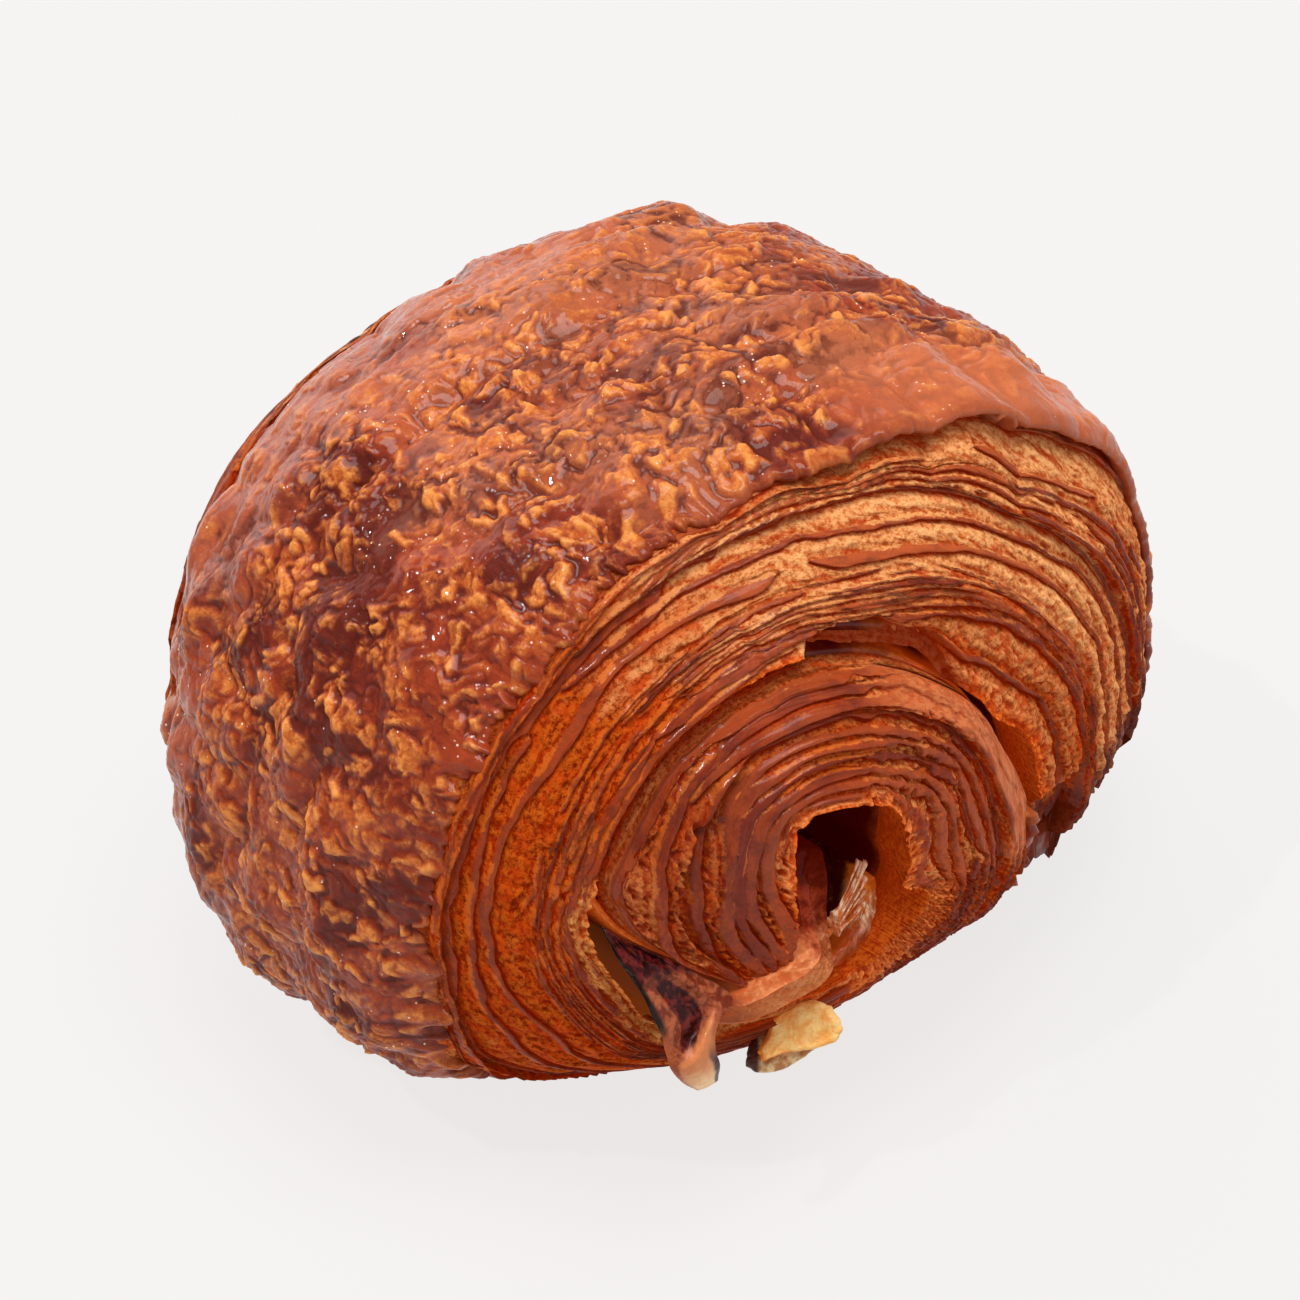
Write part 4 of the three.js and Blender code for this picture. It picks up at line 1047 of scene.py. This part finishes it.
def curlPiece():
    # a sheet between two edges: a crumpled dark top, then a gutter between two ridges, then a thick rounded tip;
    # out = crumple noise + gutter (|2t - 1|^1.5 - 0.9) + tip (1 - (2t - 1)^2) + one ridge, t across the sheet
    s, around = np.linspace(0, 1, curl["rows"]), curl["around"]
    left, right = smoothPath(curl["left"])(s)[:, None], smoothPath(curl["right"])(s)[:, None]
    rows, across = s[:, None], (1 - np.cos(np.linspace(0, 2 * np.pi, around, endpoint=False)))[None] / 2
    face = np.arange(around)[None] <= around // 2  # the outer face, then the inner one
    fromMiddle = np.abs(2 * across - 1)
    wobble = 0.05 * rough(rows * 9, np.round(across) * 4, 3, 1.0)
    points = left + (right - left) * (across + wobble * fromMiddle)[..., None]
    top, tip = smoothStep(0.42, 0.2, rows), smoothStep(0.62, 0.78, rows)
    middle = (1 - top) * (1 - tip)
    crumple = rough(rows * 7, across * 5 + 3, 4, 2.0) * curl["crumple"] * (0.25 + top)
    out = crumple + curl["gutter"] * middle * (fromMiddle ** 1.5 - 0.9) + curl["tip"] * tip * (1 - fromMiddle ** 2)
    ridge, width, height = curl["ridge"]
    out = out + height * middle * np.exp(-((across - ridge) / width) ** 2)
    thin = np.sin(np.pi * across) ** 0.5 * np.minimum(1, window(rows, -0.02, 0.04, 0.93, 1.0) + 0.15)
    out = out + curl["thickness"] * np.where(face, 0.4, -0.6) * thin
    points = points + np.array(endView["out"]) * out[..., None]
    dark = np.maximum(top, middle * window(across, 0.2, 0.32, 0.5, 0.66))
    pale = rows + 0.14 * np.exp(-((across - 0.74) / 0.12) ** 2) - 0.12 * smoothStep(0.25, 0.0, across)
    heel = smoothStep(0.78, 0.9, across + 0.05 * rough(rows * 20, across * 3, 2, 4.0))
    masks = {"dark": clamp(dark + 0.35 * rough(rows * 14, across * 9, 3, 6.0)), "along": rows, "across": across,
             "edge": smoothStep(0.13, 0.05, across) * smoothStep(0.62, 0.5, rows), "tip": smoothStep(0.6, 0.84, pale),
             "heel": heel * smoothStep(0.7, 0.85, rows)}
    loopPiece("ham_curl_dressed", points, masks, driedHam(), "ham_curl")


def driedHam():
    # nearly black along the left edge, glossy maroon at the top and in the gutter, peach at the ridge and the tip
    shade = Shade("driedHam", Coat_Weight=0.22, Coat_Roughness=0.1, Specular_IOR_Level=0.05)
    dark, edge, tip, heel, along, across = shade.owns("dark", "edge", "tip", "heel", "along", "across")
    fine, middle = shade.grain(0.4, 3), shade.grain(1.2, 4, 0.6, distortion=0.5)
    rind = shade.mix(middle.between(0.38, 0.62), (116, 44, 26), (176, 92, 56))
    maroon = shade.mix(middle.between(0.42, 0.66), (44, 6, 8), (112, 34, 30))
    colour = shade.mix(dark.between(0.25, 0.7), rind, maroon)
    cooked = shade.mix((along + (middle - 0.5) * 0.2).between(0.78, 0.98), (210, 126, 76), (246, 200, 148))
    colour = shade.mix((tip + (middle - 0.5) * 0.3).between(0.25, 0.75), colour, cooked)
    colour = shade.mix(across.between(0.16, 0.03) * along.between(0.5, 0.62) * 0.7, colour, (176, 84, 40))
    colour = shade.mix(edge, colour, (22, 12, 10))
    colour = shade.mix(heel, colour, (58, 14, 20))
    normal = shade.bump(middle + fine * 0.4, 0.35, 0.8)
    return shade.wear(Base_Color=colour, Normal=normal, Roughness=0.34 + (middle - 0.5) * 0.2)


curlPiece()

crisp = {
    "centre": (-20.4, -48.2, 20.5), "thickness": 1.7, "crinkle": 0.28, "wave": 0.5, "setBack": 1.5,  # mm
    "outline": [(-3.3, 1.3), (-1.8, 2.4), (0.8, 3.3), (2.8, 2.7), (3.8, 1.3), (4.1, 0.3), (3.3, -1.1), (0.8, -1.8),
                (-1.8, -2.1), (-4.2, -3), (-4.6, -2), (-3.5, -0.3)],  # right and up on the front end, mm
    "under": [(-5.6, -1.8), (-4.6, -0.4), (-2.6, 1), (0.5, 0.8), (1.9, -1.4), (0, -2.9), (-1.8, -3.9), (-3.3, -4.3),
              (-4.8, -4.2), (-5.7, -3.6)],
}


def crispPiece(name, outline, under):
    # a crinkled plate: rings of its outline shrink to the middle as sin^0.32, over the face and back under it as
    # cos; under is 1 for the duller plate below
    corners = np.array(outline + outline[:1], float)
    turn = np.linspace(0, len(outline), 150, endpoint=False)
    base = np.stack([np.interp(turn, np.arange(len(corners)), corners[:, k]) for k in (0, 1)], -1)
    for _ in range(3):  # soften the corners a little
        base = (base + np.roll(base, 1, 0) + np.roll(base, -1, 0)) / 3
    level = np.linspace(0.03, np.pi - 0.03, 54)[:, None]
    size = np.sin(level) ** 0.32
    middle = base.mean(axis=0)
    ragged = 1 + 0.045 * rough(base[None, :, 0] * 1.6, base[None, :, 1] * 1.6, 3, 2.0)
    flat = middle + (base - middle)[None] * (size * ragged)[..., None]
    rise = crisp["thickness"] / 2 * np.cos(level)
    rise = rise + crisp["crinkle"] * rough(flat[..., 0] / 1.5, flat[..., 1] / 1.5, 4, 5.0)
    rise = rise + crisp["wave"] * noise(flat[..., 0] / 4, flat[..., 1] / 3 + 7) - crisp["setBack"] * under
    local = np.concatenate([flat, rise[..., None]], axis=-1)
    points = np.array(crisp["centre"]) + local @ np.array([endView[key] for key in ("right", "up", "out")])
    left = smoothStep(0.75, 1.0, size * ragged) * smoothStep(0.3, -0.6, (base - middle)[None, :, 0] / 4 - 0.1)
    masks = {"browned": left, "shade": under, "burnt": under * smoothStep(-3.4, -5.2, flat[..., 0])}
    loopPiece(name, points, masks, crispMaterial, "cheese_crisp")


def bakedCheese():
    # pale yellow, orange along its left rim, with a duller and browner layer below
    shade = Shade("bakedCheese", Coat_Weight=0.15, Coat_Roughness=0.3, Specular_IOR_Level=0.25)
    browned, under, burnt = shade.owns("browned", "shade", "burnt")
    fine, middle = shade.grain(0.4, 3, 0.6), shade.grain(1.6, 4, 0.6)
    gold = shade.mix(middle.between(0.36, 0.62), (244, 170, 82), (255, 212, 134))
    colour = shade.mix((browned + (middle - 0.5) * 0.8).between(0.3, 0.8), gold, (236, 134, 34))
    colour = shade.mix(under, colour, shade.mix(middle.between(0.4, 0.6), (178, 116, 62), (232, 202, 150)))
    colour = shade.mix((burnt + (middle - 0.5) * 0.6).between(0.35, 0.8), colour, (70, 24, 10))
    colour = shade.mix((shade.spots(3.1) + (fine - 0.5) * 0.05).between(0.07, 0.03) * 0.7, colour, (96, 50, 20))
    normal = shade.bump(fine + middle * 0.6, 0.25, 0.8)
    return shade.wear(Base_Color=colour, Normal=normal, Roughness=0.5 + (middle - 0.5) * 0.2)


crispMaterial = bakedCheese()
crispPiece("cheese_crisp_top", crisp["outline"], 0)
crispPiece("cheese_crisp_under", crisp["under"], 1)
print("curl and crisp made")

# Floor and light

studio = {
    "floor": (0.09, 0.0895, 0.088), "floorGlow": 0.79, "floorReach": 30, "world": 0.34,  # reach in metres
    "suns": {  # where each shines from, width in degrees, strength, tint
        "key": ((0.1, -0.2, 1.0), 34, 2.1, (1.0, 0.985, 0.96)),
        "front": ((0.35, -1.0, 0.8), 50, 0.35, (1.0, 0.98, 0.95)),
        "back": ((0.1, 0.8, 0.5), 60, 1.0, (1.0, 0.97, 0.95)),
        "spark": ((-0.45, 0.1, 0.9), 2.0, 0.8, (1.0, 1.0, 1.0)),
    },
}

floorMesh = bpy.data.meshes.new("floor")
corners = [(x * studio["floorReach"], y * studio["floorReach"], 0) for x, y in ((-1, -1), (1, -1), (1, 1), (-1, 1))]
floorMesh.from_pydata(corners, [], [(0, 1, 2, 3)])
floor = bpy.data.objects.new("floor", floorMesh)
bpy.context.scene.collection.objects.link(floor)
floorShade = Shade("floor", Base_Color=(*studio["floor"], 1), Roughness=1.0, Specular_IOR_Level=0.0,
                   Emission_Color=(1, 0.985, 0.975, 1), Emission_Strength=studio["floorGlow"])
floorMesh.materials.append(floorShade.material)

for name, (source, width, strength, tint) in studio["suns"].items():
    sun = bpy.data.lights.new(name, "SUN")
    sun.angle, sun.energy, sun.color = math.radians(width), strength, tint
    lamp = bpy.data.objects.new(name, sun)
    lamp.rotation_mode = "QUATERNION"
    lamp.rotation_quaternion = (-Vector(source)).to_track_quat("-Z", "Y")
    bpy.context.scene.collection.objects.link(lamp)

world = bpy.data.worlds.new("studio")
world.use_nodes = True
world.node_tree.nodes["Background"].inputs["Color"].default_value = (1, 0.995, 0.985, 1)
world.node_tree.nodes["Background"].inputs["Strength"].default_value = studio["world"]
bpy.context.scene.world = world
bpy.context.scene.view_settings.view_transform = "Standard"
print("light set")
